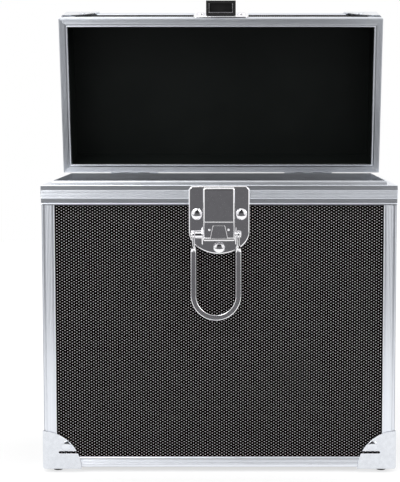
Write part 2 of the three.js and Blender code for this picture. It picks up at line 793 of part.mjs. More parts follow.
function handleGrip() {
  const grip = new THREE.ExtrudeGeometry(handleOutline(), {
    depth: handleThickness - 2 * handleBevel,
    bevelThickness: handleBevel,
    bevelSize: handleBevel,
    bevelOffset: -handleBevel,
    bevelSegments: handleBevelSteps,
    curveSegments: cornerSteps,
  }).translate(0, 0, handleBevel - handleThickness / 2);
  const bore = rodAlongX(handlePinRadius + seatGap, -handleWidth, handleWidth, 0, 0);
  piece('handle_grip', carved([grip], [bore]), blackPlastic, lid).position.set(0, -hingeY, handleZ);
}

function bracketGeometry(side) {
  const start = handleWidth / 2 + 2 * seatGap;
  const plateZ = seatGap - handleAxisRise + bracketThickness / 2;
  const lugHeight = handleAxisRise - seatGap;
  const lugX = side * (start + bracketLug / 2);
  const span = (from, to) => [Math.min(side * from, side * to), Math.max(side * from, side * to)];
  const parts = [
    boxAt(bracketWidth, bracketLength, bracketThickness, side * (start + bracketWidth / 2), 0, plateZ),
    boxAt(bracketLug, 2 * bracketLugRadius, lugHeight, lugX, 0, -lugHeight / 2),
    rodAlongX(bracketLugRadius, ...span(start, start + bracketLug), 0, 0),
    rodAlongX(handlePinRadius, ...span(start - handleLegWidth, start + bracketLug / 2), 0, 0),
  ];
  [-1, 1].forEach((end) => {
    const x = side * (start + (bracketLug + bracketWidth) / 2);
    const y = end * (bracketLength / 2 - 1.5 * bracketRivetRadius);
    const head = rivetGeometry(bracketRivetRadius, bracketThickness / 2);
    parts.push(head.translate(x, y, plateZ + bracketThickness / 2));
  });
  return carved(parts, []);
}

function brackets() {
  [['left', -1], ['right', 1]].forEach(([word, side]) => {
    const bracket = piece(`handle_${word}_bracket`, bracketGeometry(side), chrome, lid);
    bracket.position.set(0, -hingeY, handleZ);
  });
}

function makeBody() {
  const wallLow = -baseDrop + coreSide + seatGap;
  wallPanels('body', wallLow, rimTop - railWall - seatGap, 0, body);
  basePanel();
  cornerPosts('body', -baseDrop, rimTop - bodyRailHeight - seatGap, 0, body);
  edgeBars('base', -baseDrop, 1, 0, body);
  const floorLow = panelThickness + seatGap;
  const floorHigh = floorLow + liningThickness;
  lining('body_lining', floorLow, rimTop - railWall - seatGap, floorLow, floorHigh, 0, body);
  bodyRim();
  protectors('base', -baseDrop, 1, 0, body);
  feet();
}

function makeLid() {
  wallPanels('lid', lidBottom + railWall + seatGap, lidTop - coreSide - seatGap, -hingeY, lid);
  topPanel();
  cornerPosts('lid', lidBottom + lidRailHeight + seatGap, lidTop, -hingeY, lid);
  edgeBars('lid_top', lidTop, -1, -hingeY, lid);
  const roof = lidTopFace - panelThickness - seatGap;
  const liningLow = lidBottom + lidLipHeight + seatGap;
  lining('lid_lining', liningLow, roof, roof - liningThickness, roof, -hingeY, lid);
  lidRim();
  protectors('lid', lidTop, -1, -hingeY, lid);
}

makeBody();
makeLid();
latchPlate();
latchRivets();
lever();
axle();
bail();
lidCatch();
hinges();
handleGrip();
brackets();

export default recordCase;
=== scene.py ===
"""Looks of the record carrying case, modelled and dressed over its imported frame.

Lengths are metres in the frame's own axes: +X is right, -Y is the front and +Z is up. Pieces of the
lid are modelled as if it were shut, and then turned about the hinges to where it rests.
"""

import json
import logging
import math
from collections.abc import Callable, Iterator, Sequence
from dataclasses import dataclass
from enum import Enum
from itertools import pairwise

import bmesh
import bpy
from mathutils import Matrix, Vector


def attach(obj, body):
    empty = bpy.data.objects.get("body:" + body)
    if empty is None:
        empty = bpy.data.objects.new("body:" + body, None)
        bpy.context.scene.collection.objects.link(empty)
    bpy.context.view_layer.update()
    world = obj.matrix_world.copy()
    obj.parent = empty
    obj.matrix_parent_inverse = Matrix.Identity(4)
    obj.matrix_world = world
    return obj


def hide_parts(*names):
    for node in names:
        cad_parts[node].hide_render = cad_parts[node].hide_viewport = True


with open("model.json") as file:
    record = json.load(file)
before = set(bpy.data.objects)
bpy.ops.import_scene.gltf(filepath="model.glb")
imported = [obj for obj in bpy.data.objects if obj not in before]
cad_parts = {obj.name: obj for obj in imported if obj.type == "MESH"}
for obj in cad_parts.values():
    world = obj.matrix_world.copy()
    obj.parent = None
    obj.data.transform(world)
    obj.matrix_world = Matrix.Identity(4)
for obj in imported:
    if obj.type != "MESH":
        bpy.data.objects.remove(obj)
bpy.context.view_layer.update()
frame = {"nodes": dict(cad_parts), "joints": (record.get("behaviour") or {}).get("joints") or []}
TOUCH = 1e-6
LOG = logging.getLogger("record_case")

Point = tuple[float, float]
Spot = tuple[float, float, float]
Colour = tuple[float, float, float]
Thing = bpy.types.Object
Material = bpy.types.Material
Socket = bpy.types.NodeSocket
ALONG_X, ALONG_Y, ALONG_Z = Vector((1, 0, 0)), Vector((0, 1, 0)), Vector((0, 0, 1))
TO_FRONT = Vector((0, -1, 0))
BLACK, WHITE = (0.0, 0.0, 0.0), (1.0, 1.0, 1.0)


class Body(Enum):
    """The rigid bodies that pieces move with."""

    CASE = "case_body"
    LID = "lid"
    LEVER = "lever"
    BAIL = "bail"
    HANDLE = "handle"


class Slot(Enum):
    """The record's material slots, which each finish keeps."""

    ALUMINIUM = "aluminium_trim"
    STEEL = "pressed_steel"
    CHROME = "chrome"
    RUBBER = "rubber"
    PLASTIC = "handle_plastic"


class Facing(Enum):
    """The two object axes that a flat panel's pattern lies in."""

    FRONT = ("X", "Z")
    SIDE = ("Y", "Z")
    TOP = ("X", "Y")


class Cut(Enum):
    """What a second solid does to the first."""

    AWAY = "DIFFERENCE"
    WITHIN = "INTERSECT"
    ONTO = "UNION"


# Modelling moves, as by hand


def deselect() -> None:
    """Leaves nothing selected, because an operator acts on all that is."""
    if bpy.context.mode != "OBJECT":
        bpy.ops.object.mode_set(mode="OBJECT")
    bpy.ops.object.select_all(action="DESELECT")


def take(*things: Thing) -> None:
    """Selects pieces in object mode, and makes the first one active."""
    deselect()
    for thing in things:
        thing.select_set(True)
    bpy.context.view_layer.objects.active = things[0]


def discard(*things: Thing) -> None:
    """Deletes pieces that were modelled only to be copied, or to cut with."""
    take(*things)
    bpy.ops.object.delete()


def edit(thing: Thing) -> None:
    """Opens a piece in edit mode with nothing in it selected."""
    take(thing)
    bpy.ops.object.mode_set(mode="EDIT")
    bpy.ops.mesh.select_all(action="DESELECT")


def pick_faces(thing: Thing, test: Callable[[Vector, Vector], bool]) -> None:
    """Selects faces of an opened piece by a test of their middle and normal."""
    bpy.ops.mesh.select_mode(type="FACE")
    mesh = bmesh.from_edit_mesh(thing.data)
    for face in mesh.faces:
        face.select_set(test(face.calc_center_median(), face.normal))
    mesh.select_flush_mode()
    bmesh.update_edit_mesh(thing.data)


def pick_edges(thing: Thing, test: Callable[[Vector, Vector], bool]) -> None:
    """Selects edges of an opened piece by a test of their two ends."""
    bpy.ops.mesh.select_mode(type="EDGE")
    mesh = bmesh.from_edit_mesh(thing.data)
    for edge in mesh.edges:
        edge.select_set(test(edge.verts[0].co, edge.verts[1].co))
    mesh.select_flush_mode()
    bmesh.update_edit_mesh(thing.data)


def draw(name: str, points: Sequence[Vector], closed: bool = True) -> Thing:
    """Draws a line from point to point, as one vertex that is extruded on.

    Args:
        name: The new piece's name.
        points: The line's points in order.
        closed: Whether the line is closed and filled with a face.

    Returns:
        The piece, open in edit mode with all of it selected.
    """
    deselect()
    bpy.ops.mesh.primitive_plane_add()
    thing = bpy.context.object
    thing.name = name
    bpy.ops.object.mode_set(mode="EDIT")
    bpy.ops.mesh.select_mode(type="VERT")
    bpy.ops.mesh.select_all(action="SELECT")
    bpy.ops.mesh.merge(type="CENTER")
    bpy.ops.transform.translate(value=points[0])
    for before, after in pairwise(points):
        bpy.ops.mesh.extrude_vertices_move(TRANSFORM_OT_translate={"value": after - before})
    bpy.ops.mesh.select_all(action="SELECT")
    if closed:
        bpy.ops.mesh.edge_face_add()
    return thing


def pull(run: Vector) -> None:
    """Extrudes what is selected in edit mode along a straight run."""
    bpy.ops.mesh.extrude_region_move(TRANSFORM_OT_translate={"value": run})


def spin(angle: float, middle: Vector, axis: Vector, steps: int) -> None:
    """Extrudes what is selected in edit mode round an axis."""
    bpy.ops.mesh.spin(steps=steps, angle=angle, center=middle, axis=axis)


def close_up(thing: Thing) -> Thing:
    """Merges doubles, points all faces outwards and leaves edit mode."""
    edit(thing)
    bpy.ops.mesh.select_all(action="SELECT")
    bpy.ops.mesh.remove_doubles(threshold=TOUCH)
    bpy.ops.mesh.normals_make_consistent(inside=False)
    bpy.ops.object.mode_set(mode="OBJECT")
    return thing


def slab(name: str, points: Sequence[Vector], run: Vector) -> Thing:
    """Makes a solid from a drawn outline and a straight run.

    Args:
        name: The new piece's name.
        points: The closed outline.
        run: How far and which way it is pulled.

    Returns:
        The closed piece, in object mode.
    """
    thing = draw(name, points)
    pull(run)
    return close_up(thing)


def lathe(name: str, section: Sequence[Point], spot: Vector, axis: Vector, steps: int) -> Thing:
    """Makes a turned solid.

    Args:
        name: The new piece's name.
        section: Half of its section, from axis to axis, as distance along the axis and out from it.
        spot: The point on the axis that the section is measured from.
        axis: The axis, along X or Z.
        steps: The number of steps round it.

    Returns:
        The closed piece, in object mode.
    """
    out_way = Vector((axis.z, 0, axis.x))
    thing = draw(name, [spot + along * axis + out * out_way for along, out in section], closed=False)
    spin(math.tau, spot, axis, steps)
    return close_up(thing)


def block(name: str, low: Vector, high: Vector) -> Thing:
    """Makes a box between two corners."""
    deselect()
    bpy.ops.mesh.primitive_cube_add(size=1)
    box = bpy.context.object
    box.name = name
    return settle(box, Matrix.Translation((low + high) / 2) @ Matrix.Diagonal((*(high - low), 1)))


def modify(thing: Thing, kind: str, **settings: object) -> Thing:
    """Adds a modifier with its settings, and applies it."""
    take(thing)
    step = thing.modifiers.new(kind.lower(), kind)
    for name, value in settings.items():
        setattr(step, name, value)
    bpy.ops.object.modifier_apply(modifier=step.name)
    return thing


def soften(thing: Thing, width: float, segments: int, angle: float) -> Thing:
    """Rounds the edges that are sharper than an angle in degrees."""
    limit = math.radians(angle)
    return modify(thing, "BEVEL", width=width, segments=segments, limit_method="ANGLE", angle_limit=limit)


def weigh(thing: Thing) -> Thing:
    """Gives a smooth piece new shading normals, led by its largest faces."""
    take(thing)
    if thing.data.has_custom_normals:
        bpy.ops.mesh.customdata_custom_splitnormals_clear()
    return modify(thing, "WEIGHTED_NORMAL", keep_sharp=True, weight=100)


def smooth(thing: Thing, angle: float = 40) -> Thing:
    """Shades a piece smooth across edges flatter than an angle in degrees, with its large faces kept flat."""
    take(thing)
    bpy.ops.object.shade_smooth_by_angle(angle=math.radians(angle))
    return weigh(thing)


def polish(thing: Thing, width: float, segments: int = 2, angle: float = 50, shade: float = 40) -> Thing:
    """Rounds a piece's sharp edges, and shades it smooth.

    Args:
        thing: The piece.
        width: The width of the rounding.
        segments: The number of its steps.
        angle: Edges sharper than this, in degrees, are rounded.
        shade: Edges flatter than this, in degrees, are smooth.

    Returns:
        The piece.
    """
    return smooth(soften(thing, width, segments, angle), shade)


def thicken(thing: Thing, wall: float) -> Thing:
    """Gives an open shell a wall that grows inwards."""
    return modify(thing, "SOLIDIFY", thickness=wall, offset=-1, use_even_offset=True)


def combine(thing: Thing, other: Thing, cut: Cut) -> Thing:
    """Cuts one solid by another, which is used up."""
    modify(thing, "BOOLEAN", operation=cut.value, solver="EXACT", object=other)
    discard(other)
    return thing


def join(*things: Thing) -> Thing:
    """Joins pieces into the first one."""
    take(*things)
    bpy.ops.object.join()
    return things[0]


def settle(thing: Thing, place: Matrix) -> Thing:
    """Moves a piece, and puts its place into its mesh.

    Args:
        thing: The piece.
        place: How it is moved, turned or mirrored.

    Returns:
        The piece, its object at the origin.
    """
    take(thing)
    thing.matrix_world = place
    bpy.ops.object.transform_apply(location=True, rotation=True, scale=True)
    if place.determinant() < 0:
        close_up(thing)
        if thing.data.has_custom_normals:
            weigh(thing)
    return thing


def copy_of(thing: Thing, name: str, place: Matrix) -> Thing:
    """Copies a piece with a mesh of its own.

    Args:
        thing: The piece.
        name: The copy's name.
        place: How the copy is moved, turned or mirrored.

    Returns:
        The copy, its object at the origin.
    """
    take(thing)
    bpy.ops.object.duplicate(linked=False)
    twin = bpy.context.object
    twin.name = name
    return settle(twin, place)


def mirrored(across_x: bool, across_y: bool) -> Matrix:
    """A mirroring across one or both of the upright middle planes."""
    return Matrix.Diagonal((-1 if across_x else 1, -1 if across_y else 1, 1, 1))


def corners() -> Iterator[tuple[str, Matrix]]:
    """The four corners' names, each with the mirroring that takes the left front corner there."""
    for depth_word in ("front", "back"):
        for width_word in ("left", "right"):
            yield f"{depth_word}_{width_word}", mirrored(width_word == "right", depth_word == "back")


def arc(middle: Point, radius: float, start: float, end: float, steps: int) -> list[Point]:
    """Points on an arc.

    Args:
        middle: The arc's middle.
        radius: Its radius.
        start: The first angle in degrees.
        end: The last angle in degrees.
        steps: The number of steps.

    Returns:
        The points, with both ends.
    """
    turns = [math.radians(start + (end - start) * step / steps) for step in range(steps + 1)]
    return [(middle[0] + radius * math.cos(turn), middle[1] + radius * math.sin(turn)) for turn in turns]


def shoulders(half: float, top: float, bend: float, steps: int) -> list[Point]:
    """The two rounded upper corners of an outline, from right to left."""
    line = arc((half - bend, top - bend), bend, 0, 90, steps)
    return line + arc((bend - half, top - bend), bend, 90, 180, steps)


def taper(low_half: float, low: float, top_half: float, top: float) -> list[Point]:
    """The corners of an outline that widens or narrows evenly from its low side to its top."""
    return [(-low_half, low), (low_half, low), (top_half, top), (-top_half, top)]


def in_xz(points: Sequence[Point], y: float) -> list[Vector]:
    """Stands flat points up in a plane that faces the front."""
    return [Vector((x, y, z)) for x, z in points]


def in_yz(points: Sequence[Point], x: float) -> list[Vector]:
    """Stands flat points up in a plane that faces the side."""
    return [Vector((x, y, z)) for y, z in points]


def in_xy(points: Sequence[Point], z: float) -> list[Vector]:
    """Lays flat points down at a height."""
    return [Vector((x, y, z)) for x, y in points]


# Shading


class Wire:
    """A number that varies over a surface, with arithmetic that adds Math nodes."""

    def __init__(self, shading: "Shading", socket: Socket) -> None:
        """Keeps the socket and the node tree that it belongs to."""
        self.shading = shading
        self.socket = socket

    def _math(self, operation: str, *values: "Wire | float") -> "Wire":
        """Adds one Math node on this and other values."""
        return self.shading.node("ShaderNodeMath", {"operation": operation}, values).wire()

    def __add__(self, other: "Wire | float") -> "Wire":
        """This plus the other."""
        return self._math("ADD", self, other)

    def __sub__(self, other: "Wire | float") -> "Wire":
        """This less the other."""
        return self._math("SUBTRACT", self, other)

    def __rsub__(self, other: float) -> "Wire":
        """The other less this."""
        return self._math("SUBTRACT", other, self)

    def __mul__(self, other: "Wire | float") -> "Wire":
        """This times the other."""
        return self._math("MULTIPLY", self, other)

    def __truediv__(self, other: "Wire | float") -> "Wire":
        """This over the other."""
        return self._math("DIVIDE", self, other)

    def fraction(self) -> "Wire":
        """What is left of this above the next lower whole number."""
        return self._math("FRACT", self)

    def root(self) -> "Wire":
        """This value's square root."""
        return self._math("SQRT", self)

    def least(self, other: "Wire | float") -> "Wire":
        """The lesser of this and the other."""
        return self._math("MINIMUM", self, other)

    def fade(self, start: float, end: float) -> "Wire":
        """Goes smoothly from 0 at the start to 1 at the end."""
        settings = {"interpolation_type": "SMOOTHSTEP"}
        return self.shading.node("ShaderNodeMapRange", settings, {0: self, 1: start, 2: end}).wire()

    def between(self, low: float, high: float) -> "Wire":
        """Stretches this from 0 and 1 to a low and a high value."""
        return self * (high - low) + low


class Made:
    """A node that has been added, and a short way to its outputs."""

    def __init__(self, shading: "Shading", node: bpy.types.Node) -> None:
        """Keeps the node and its tree."""
        self.shading = shading
        self.node = node

    def wire(self, output: int | str = 0) -> Wire:
        """One of the node's outputs as a number."""
        return Wire(self.shading, self.node.outputs[output])

    def out(self, output: int | str = 0) -> Socket:
        """One of the node's outputs as a colour, vector or shader."""
        return self.node.outputs[output]


class Shading:
    """The node tree of a material or of the world."""

    def __init__(self, tree: bpy.types.NodeTree) -> None:
        """Empties the tree, to build it anew."""
        self.tree = tree
        tree.nodes.clear()

    def node(self, kind: str, settings: dict | None = None, sockets: dict | Sequence | None = None) -> Made:
        """Adds a node.

        Args:
            kind: The node's type.
            settings: What is set on the node before its sockets.
            sockets: Values or links for its inputs, by index or name.

        Returns:
            The node.
        """
        made = self.tree.nodes.new(kind)
        for name, value in (settings or {}).items():
            setattr(made, name, value)
        pairs = sockets.items() if isinstance(sockets, dict) else enumerate(sockets or ())
        for key, value in pairs:
            if isinstance(value, Wire):
                self.tree.links.new(value.socket, made.inputs[key])
            elif isinstance(value, Socket):
                self.tree.links.new(value, made.inputs[key])
            else:
                made.inputs[key].default_value = value
        return Made(self, made)

    def place(self) -> Socket:
        """The surface's place in the object's own axes."""
        return self.node("ShaderNodeTexCoord").out("Object")

    def mapped(self, turn: float, scale: Sequence[float] = (1, 1, 1)) -> Socket:
        """The surface's place, turned about the lid's hinges and then scaled.

        Args:
            turn: The angle in radians.
            scale: The stretch along each axis.

        Returns:
            The mapped place.
        """
        shift = HINGE_SPOT - Matrix.Rotation(turn, 3, "X") @ HINGE_SPOT
        sockets = {0: self.place(), 1: shift, 2: (turn, 0, 0)}
        moved = self.node("ShaderNodeMapping", {"vector_type": "POINT"}, sockets)
        return self.node("ShaderNodeVectorMath", {"operation": "MULTIPLY"}, [moved.out(), scale]).out()

    def speckle(self, where: Socket, scale: float, detail: float = 2.0, rough: float = 0.5) -> Wire:
        """Soft noise from 0 to 1."""
        sockets = {"Vector": where, "Scale": scale, "Detail": detail, "Roughness": rough}
        return self.node("ShaderNodeTexNoise", None, sockets).wire()

    def mix(self, share: Wire | float, first: Colour, second: Colour | Socket) -> Socket:
        """Mixes two colours by a share."""
        other = (*second, 1) if isinstance(second, tuple) else second
        return self.node("ShaderNodeMix", {"data_type": "RGBA"}, {0: share, 6: (*first, 1), 7: other}).out(2)

    def bump(self, height: Wire, distance: float, strength: float = 1.0) -> Socket:
        """Turns a height from 0 to 1 into a normal, with its relief in metres."""
        sockets = {"Strength": strength, "Distance": distance, "Height": height}
        return self.node("ShaderNodeBump", None, sockets).out()

    def surface(self, **sockets: object) -> None:
        """Ends the tree in a Principled surface, with underscores for the spaces in socket names."""
        named = {name.replace("_", " "): value for name, value in sockets.items()}
        shader = self.node("ShaderNodeBsdfPrincipled", None, named)
        self.node("ShaderNodeOutputMaterial", None, {"Surface": shader.out()})


def new_material(name: str) -> tuple[Material, Shading]:
    """Makes an empty material and its tree."""
    material = bpy.data.materials.new(name)
    material.use_nodes = True
    return material, Shading(material.node_tree)


# Where things are


@dataclass(frozen=True)
class CaseSizes:
    """The case's main sizes, which all its sub-assemblies share."""

    half_width: float = 0.1725
    half_depth: float = 0.084
    outer_x: float = 0.1715
    outer_y: float = 0.083
    rim_top: float = 0.2755
    bottom: float = -0.0015
    body_rail: float = 0.0188
    lid_rail: float = 0.014
    lid_low: float = 0.276
    lid_top: float = 0.34
    core: float = 0.006
    gap: float = 0.0003
    flange: float = 0.0012
    post_leg: float = 0.0124
    edge_leg: float = 0.0105
    corner_round: float = 0.003


CASE = CaseSizes()
HINGE = next(joint for joint in frame["joints"] if joint["name"] == "lid_hinge")
HINGE_SPOT = Vector(HINGE["pos_m"])
LID_TURN = -math.radians(HINGE["range_deg"][1])
TO_HINGE = Matrix.Translation(HINGE_SPOT)
OPENED = TO_HINGE @ Matrix.Rotation(LID_TURN, 4, "X") @ TO_HINGE.inverted()


# Finishes


@dataclass(frozen=True)
class DimpledLaminate:
    """Black laminate with a close lattice of small raised dimples, whose crowns carry a painted highlight.

    The dimples stand in columns, and each column is half a step up from the last. Distances from a
    dimple are counted in its own radii.
    """

    column: float = 0.00231
    step: float = 0.00282
    half_long: float = 0.0006
    half_high: float = 0.0003
    glint_edge: Point = (0.6, 1.1)
    dome_edge: Point = (0.0, 2.2)
    ground: Colour = (0.0004, 0.0004, 0.0005)
    # crown is the pale colour painted on each dimple's crown: a painted highlight.
    crown: Colour = (0.99, 0.935, 0.96)
    relief: float = 0.00022
    finish: float = 0.42
    wear: float = 0.14
    shine: float = 0.1
    cloud_scale: float = 38
    patch_scale: float = 900
    cloud_share: Point = (0.88, 1.0)
    patch_share: Point = (0.78, 1.0)

    def material(self, facing: Facing, in_lid: bool) -> Material:
        """Makes the laminate for the panels that face one way.

        Args:
            facing: The two axes that the panel lies in.
            in_lid: Whether the panel belongs to the open lid, and its pattern turns with it.

        Returns:
            The material.
        """
        place = "lid" if in_lid else "case"
        material, shade = new_material(f"dimpled_laminate_{place}_{facing.name.lower()}")
        where = shade.mapped(-LID_TURN) if in_lid else shade.place()
        parts = shade.node("ShaderNodeSeparateXYZ", None, [where])
        across, up = (parts.wire(axis) for axis in facing.value)
        near = self._nearness(across, up, 0.0).least(self._nearness(across, up, 0.5))
        # The dimples' crowns are painted pale as a painted highlight where the domes catch the light; cloud
        # and patch noise vary its strength.
        crown = 1 - near.fade(*self.glint_edge)
        cloud = shade.speckle(where, self.cloud_scale, 3.0)
        patchy = shade.speckle(where, self.patch_scale)
        light = crown * patchy.between(*self.patch_share) * cloud.between(*self.cloud_share)
        shade.surface(
            Base_Color=shade.mix(light, self.ground, self.crown),
            Roughness=cloud * self.wear + self.finish - crown * self.shine,
            Normal=shade.bump(1 - near.fade(*self.dome_edge), self.relief),
            Specular_IOR_Level=0.02,
        )
        return material

    def _nearness(self, across: Wire, up: Wire, offset: float) -> Wire:
        """How far a point lies from the nearest dimple of every other column."""
        wide = ((across / (2 * self.column) + offset).fraction() - 0.5) * (2 * self.column / self.half_long)
        high = ((up / self.step + offset).fraction() - 0.5) * (self.step / self.half_high)
        return (wide * wide + high * high).root()


@dataclass(frozen=True)
class BlackLining:
    """Smooth black board with a faint green cast and a fine grain."""

    dark: Colour = (0.006, 0.0075, 0.007)
    pale: Colour = (0.0085, 0.0102, 0.0096)
    cloud_scale: float = 9
    grain_scale: float = 1400
    relief: float = 0.00005

    def material(self) -> Material:
        """Makes the lining's material."""
        material, shade = new_material("black_lining")
        where = shade.place()
        cloud = shade.speckle(where, self.cloud_scale, 4.0, 0.6)
        shade.surface(
            Base_Color=shade.mix(cloud.fade(0.35, 0.7), self.dark, self.pale),
            Roughness=cloud.between(0.42, 0.58),
            Normal=shade.bump(shade.speckle(where, self.grain_scale), self.relief, 0.5),
            Specular_IOR_Level=0.1,
        )
        return material


class Grain(Enum):
    """The axis that drawn metal's fine lines run along, as a stretch of the noise that makes them."""

    X = (4, 1500, 1500)
    Y = (1500, 4, 1500)
    Z = (1500, 1500, 4)
    NONE = (240, 240, 240)


@dataclass(frozen=True)
class Metal:
    """A bare or plated metal, which can have painted shade where the lid's rail faces the body.

    That face starts and ends over two short spans of height, counted from the lid's lower edge.
    """

    name: str
    slot: Slot
    dark: Colour
    pale: Colour
    smooth: float
    rough: float
    line_depth: float
    painted_shade_factor: float = 1.0
    cloud_scale: float = 42
    smudge_scale: float = 130
    line_share: float = 0.75
    wear_share: float = 0.3
    face_start: Point = (-0.0003, -0.0001)
    face_end: Point = (0.0006, 0.001)

    def material(self, grain: Grain, in_lid: bool) -> Material:
        """Makes the metal with its fine lines along one way.

        Args:
            grain: Which way the lines run.
            in_lid: Whether the piece belongs to the open lid, and its lines turn with it.

        Returns:
            The material.
        """
        place = "lid" if in_lid else "case"
        material, shade = new_material(f"{self.name}_{place}_{grain.name.lower()}")
        turn = -LID_TURN if in_lid else 0.0
        lines = shade.speckle(shade.mapped(turn, grain.value), 1.0, 3.0, 0.6)
        where = shade.place()
        cloud = shade.speckle(where, self.cloud_scale, 4.0, 0.6)
        wear = shade.speckle(where, self.smudge_scale, 3.0, 0.55).fade(0.3, 0.75)
        share = lines * self.line_share + cloud * (1 - self.line_share)
        colour = shade.mix(share.fade(0.3, 0.7), self.dark, self.pale)
        # Painted shade: the face of the lid's rail that meets the body is darkened by this factor.
        if self.painted_shade_factor < 1:
            rise = shade.node("ShaderNodeSeparateXYZ", None, [shade.mapped(turn)]).wire("Z")
            start, end = ([CASE.lid_low + at for at in span] for span in (self.face_start, self.face_end))
            painted_shade_mask = (1 - rise.fade(*end)) * rise.fade(*start)
            colour = shade.mix(painted_shade_mask.between(1.0, self.painted_shade_factor), BLACK, colour)
        dull = wear * self.wear_share + lines * (1 - self.wear_share)
        shade.surface(
            Base_Color=colour,
            Metallic=1.0,
            Roughness=dull.between(self.smooth, self.rough),
            Normal=shade.bump(lines, self.line_depth, 0.6),
        )
        return material


PALE_GREY = (0.87, 0.9, 0.96)
ALUMINIUM = Metal("satin_aluminium", Slot.ALUMINIUM, (0.8, 0.83, 0.88), PALE_GREY, 0.26, 0.32, 1e-5)
# The lid rail's aluminium is a shaded copy of the aluminium: a little darker, with painted shade on the face
# that meets the body.
LID_RIM_SHADED = Metal("rim_aluminium_shaded", Slot.ALUMINIUM, (0.78, 0.81, 0.86), PALE_GREY, 0.26, 0.32, 1e-5, 0.66)
CHROME = Metal("nickel_plate", Slot.CHROME, (0.9, 0.895, 0.915), (0.95, 0.945, 0.965), 0.06, 0.12, 3e-6)
STEEL = Metal("polished_steel", Slot.STEEL, (0.7, 0.725, 0.77), (0.77, 0.795, 0.84), 0.12, 0.2, 3e-6)
BRIGHT_STEEL = Metal("bright_steel", Slot.STEEL, (0.72, 0.745, 0.79), (0.79, 0.815, 0.86), 0.05, 0.1, 2e-6)


@dataclass(frozen=True)
class Moulded:
    """Black rubber or plastic with a fine moulded grain."""

    name: str
    slot: Slot
    dark: Colour
    pale: Colour
    smooth: float
    rough: float
    cell: float
    relief: float
    cloud_scale: float = 60

    def material(self) -> Material:
        """Makes the moulded material."""
        material, shade = new_material(self.name)
        where = shade.place()
        sockets = {"Vector": where, "Scale": 1 / self.cell}
        cells = shade.node("ShaderNodeTexVoronoi", {"feature": "SMOOTH_F1"}, sockets).wire("Distance")
        cloud = shade.speckle(where, self.cloud_scale, 3.0)
        shade.surface(
            Base_Color=shade.mix(cloud.fade(0.3, 0.7), self.dark, self.pale),
            Roughness=cloud.between(self.smooth, self.rough),
            Normal=shade.bump(cells, self.relief, 0.7),
            Specular_IOR_Level=0.25,
        )
        return material


SOOT, DARK_GREY = (0.009, 0.009, 0.0095), (0.016, 0.016, 0.016)
COAL, SLATE = (0.01, 0.01, 0.0105), (0.017, 0.017, 0.018)
RUBBER = Moulded("black_rubber", Slot.RUBBER, SOOT, DARK_GREY, 0.68, 0.85, 6e-4, 6e-5)
PLASTIC = Moulded("moulded_plastic", Slot.PLASTIC, COAL, SLATE, 0.36, 0.5, 9e-4, 1e-4)


class Bench:
    """Dresses finished pieces and fixes them to the frame, with one material of each kind."""

    def __init__(self) -> None:
        """Starts with no materials made."""
        self.made: dict[tuple, Material] = {}

    def finish(self, kind: object, *choices: object) -> Material:
        """Makes a finish's material, or gives the one that is already made."""
        key = (kind, *choices)
        if key not in self.made:
            self.made[key] = kind.material(*choices)
        return self.made[key]

    def dress(self, thing: Thing, material: Material) -> None:
        """Gives a piece one material."""
        thing.data.materials.clear()
        thing.data.materials.append(material)

    def fix(
        self, thing: Thing, body: Body, kind: Metal | Moulded, *nodes: str, grain: Grain = Grain.NONE
    ) -> None:
        """Dresses a finished piece, and fixes it to its body.

        Args:
            thing: The piece, modelled where it lies with the lid shut.
            body: The body that it moves with.
            kind: What it is made of.
            nodes: The frame's nodes that it stands for.
            grain: Which way the lines in its metal run.
        """
        if body in (Body.LID, Body.HANDLE):
            settle(thing, OPENED)
        choices = (grain, body is Body.LID) if isinstance(kind, Metal) else ()
        self.dress(thing, self.finish(kind, *choices))
        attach(thing, body.value)
        for node in nodes:
            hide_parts(node)
        faces = len(thing.data.polygons)
        LOG.info("%s rides on %s with %d faces", thing.name, body.value, faces)


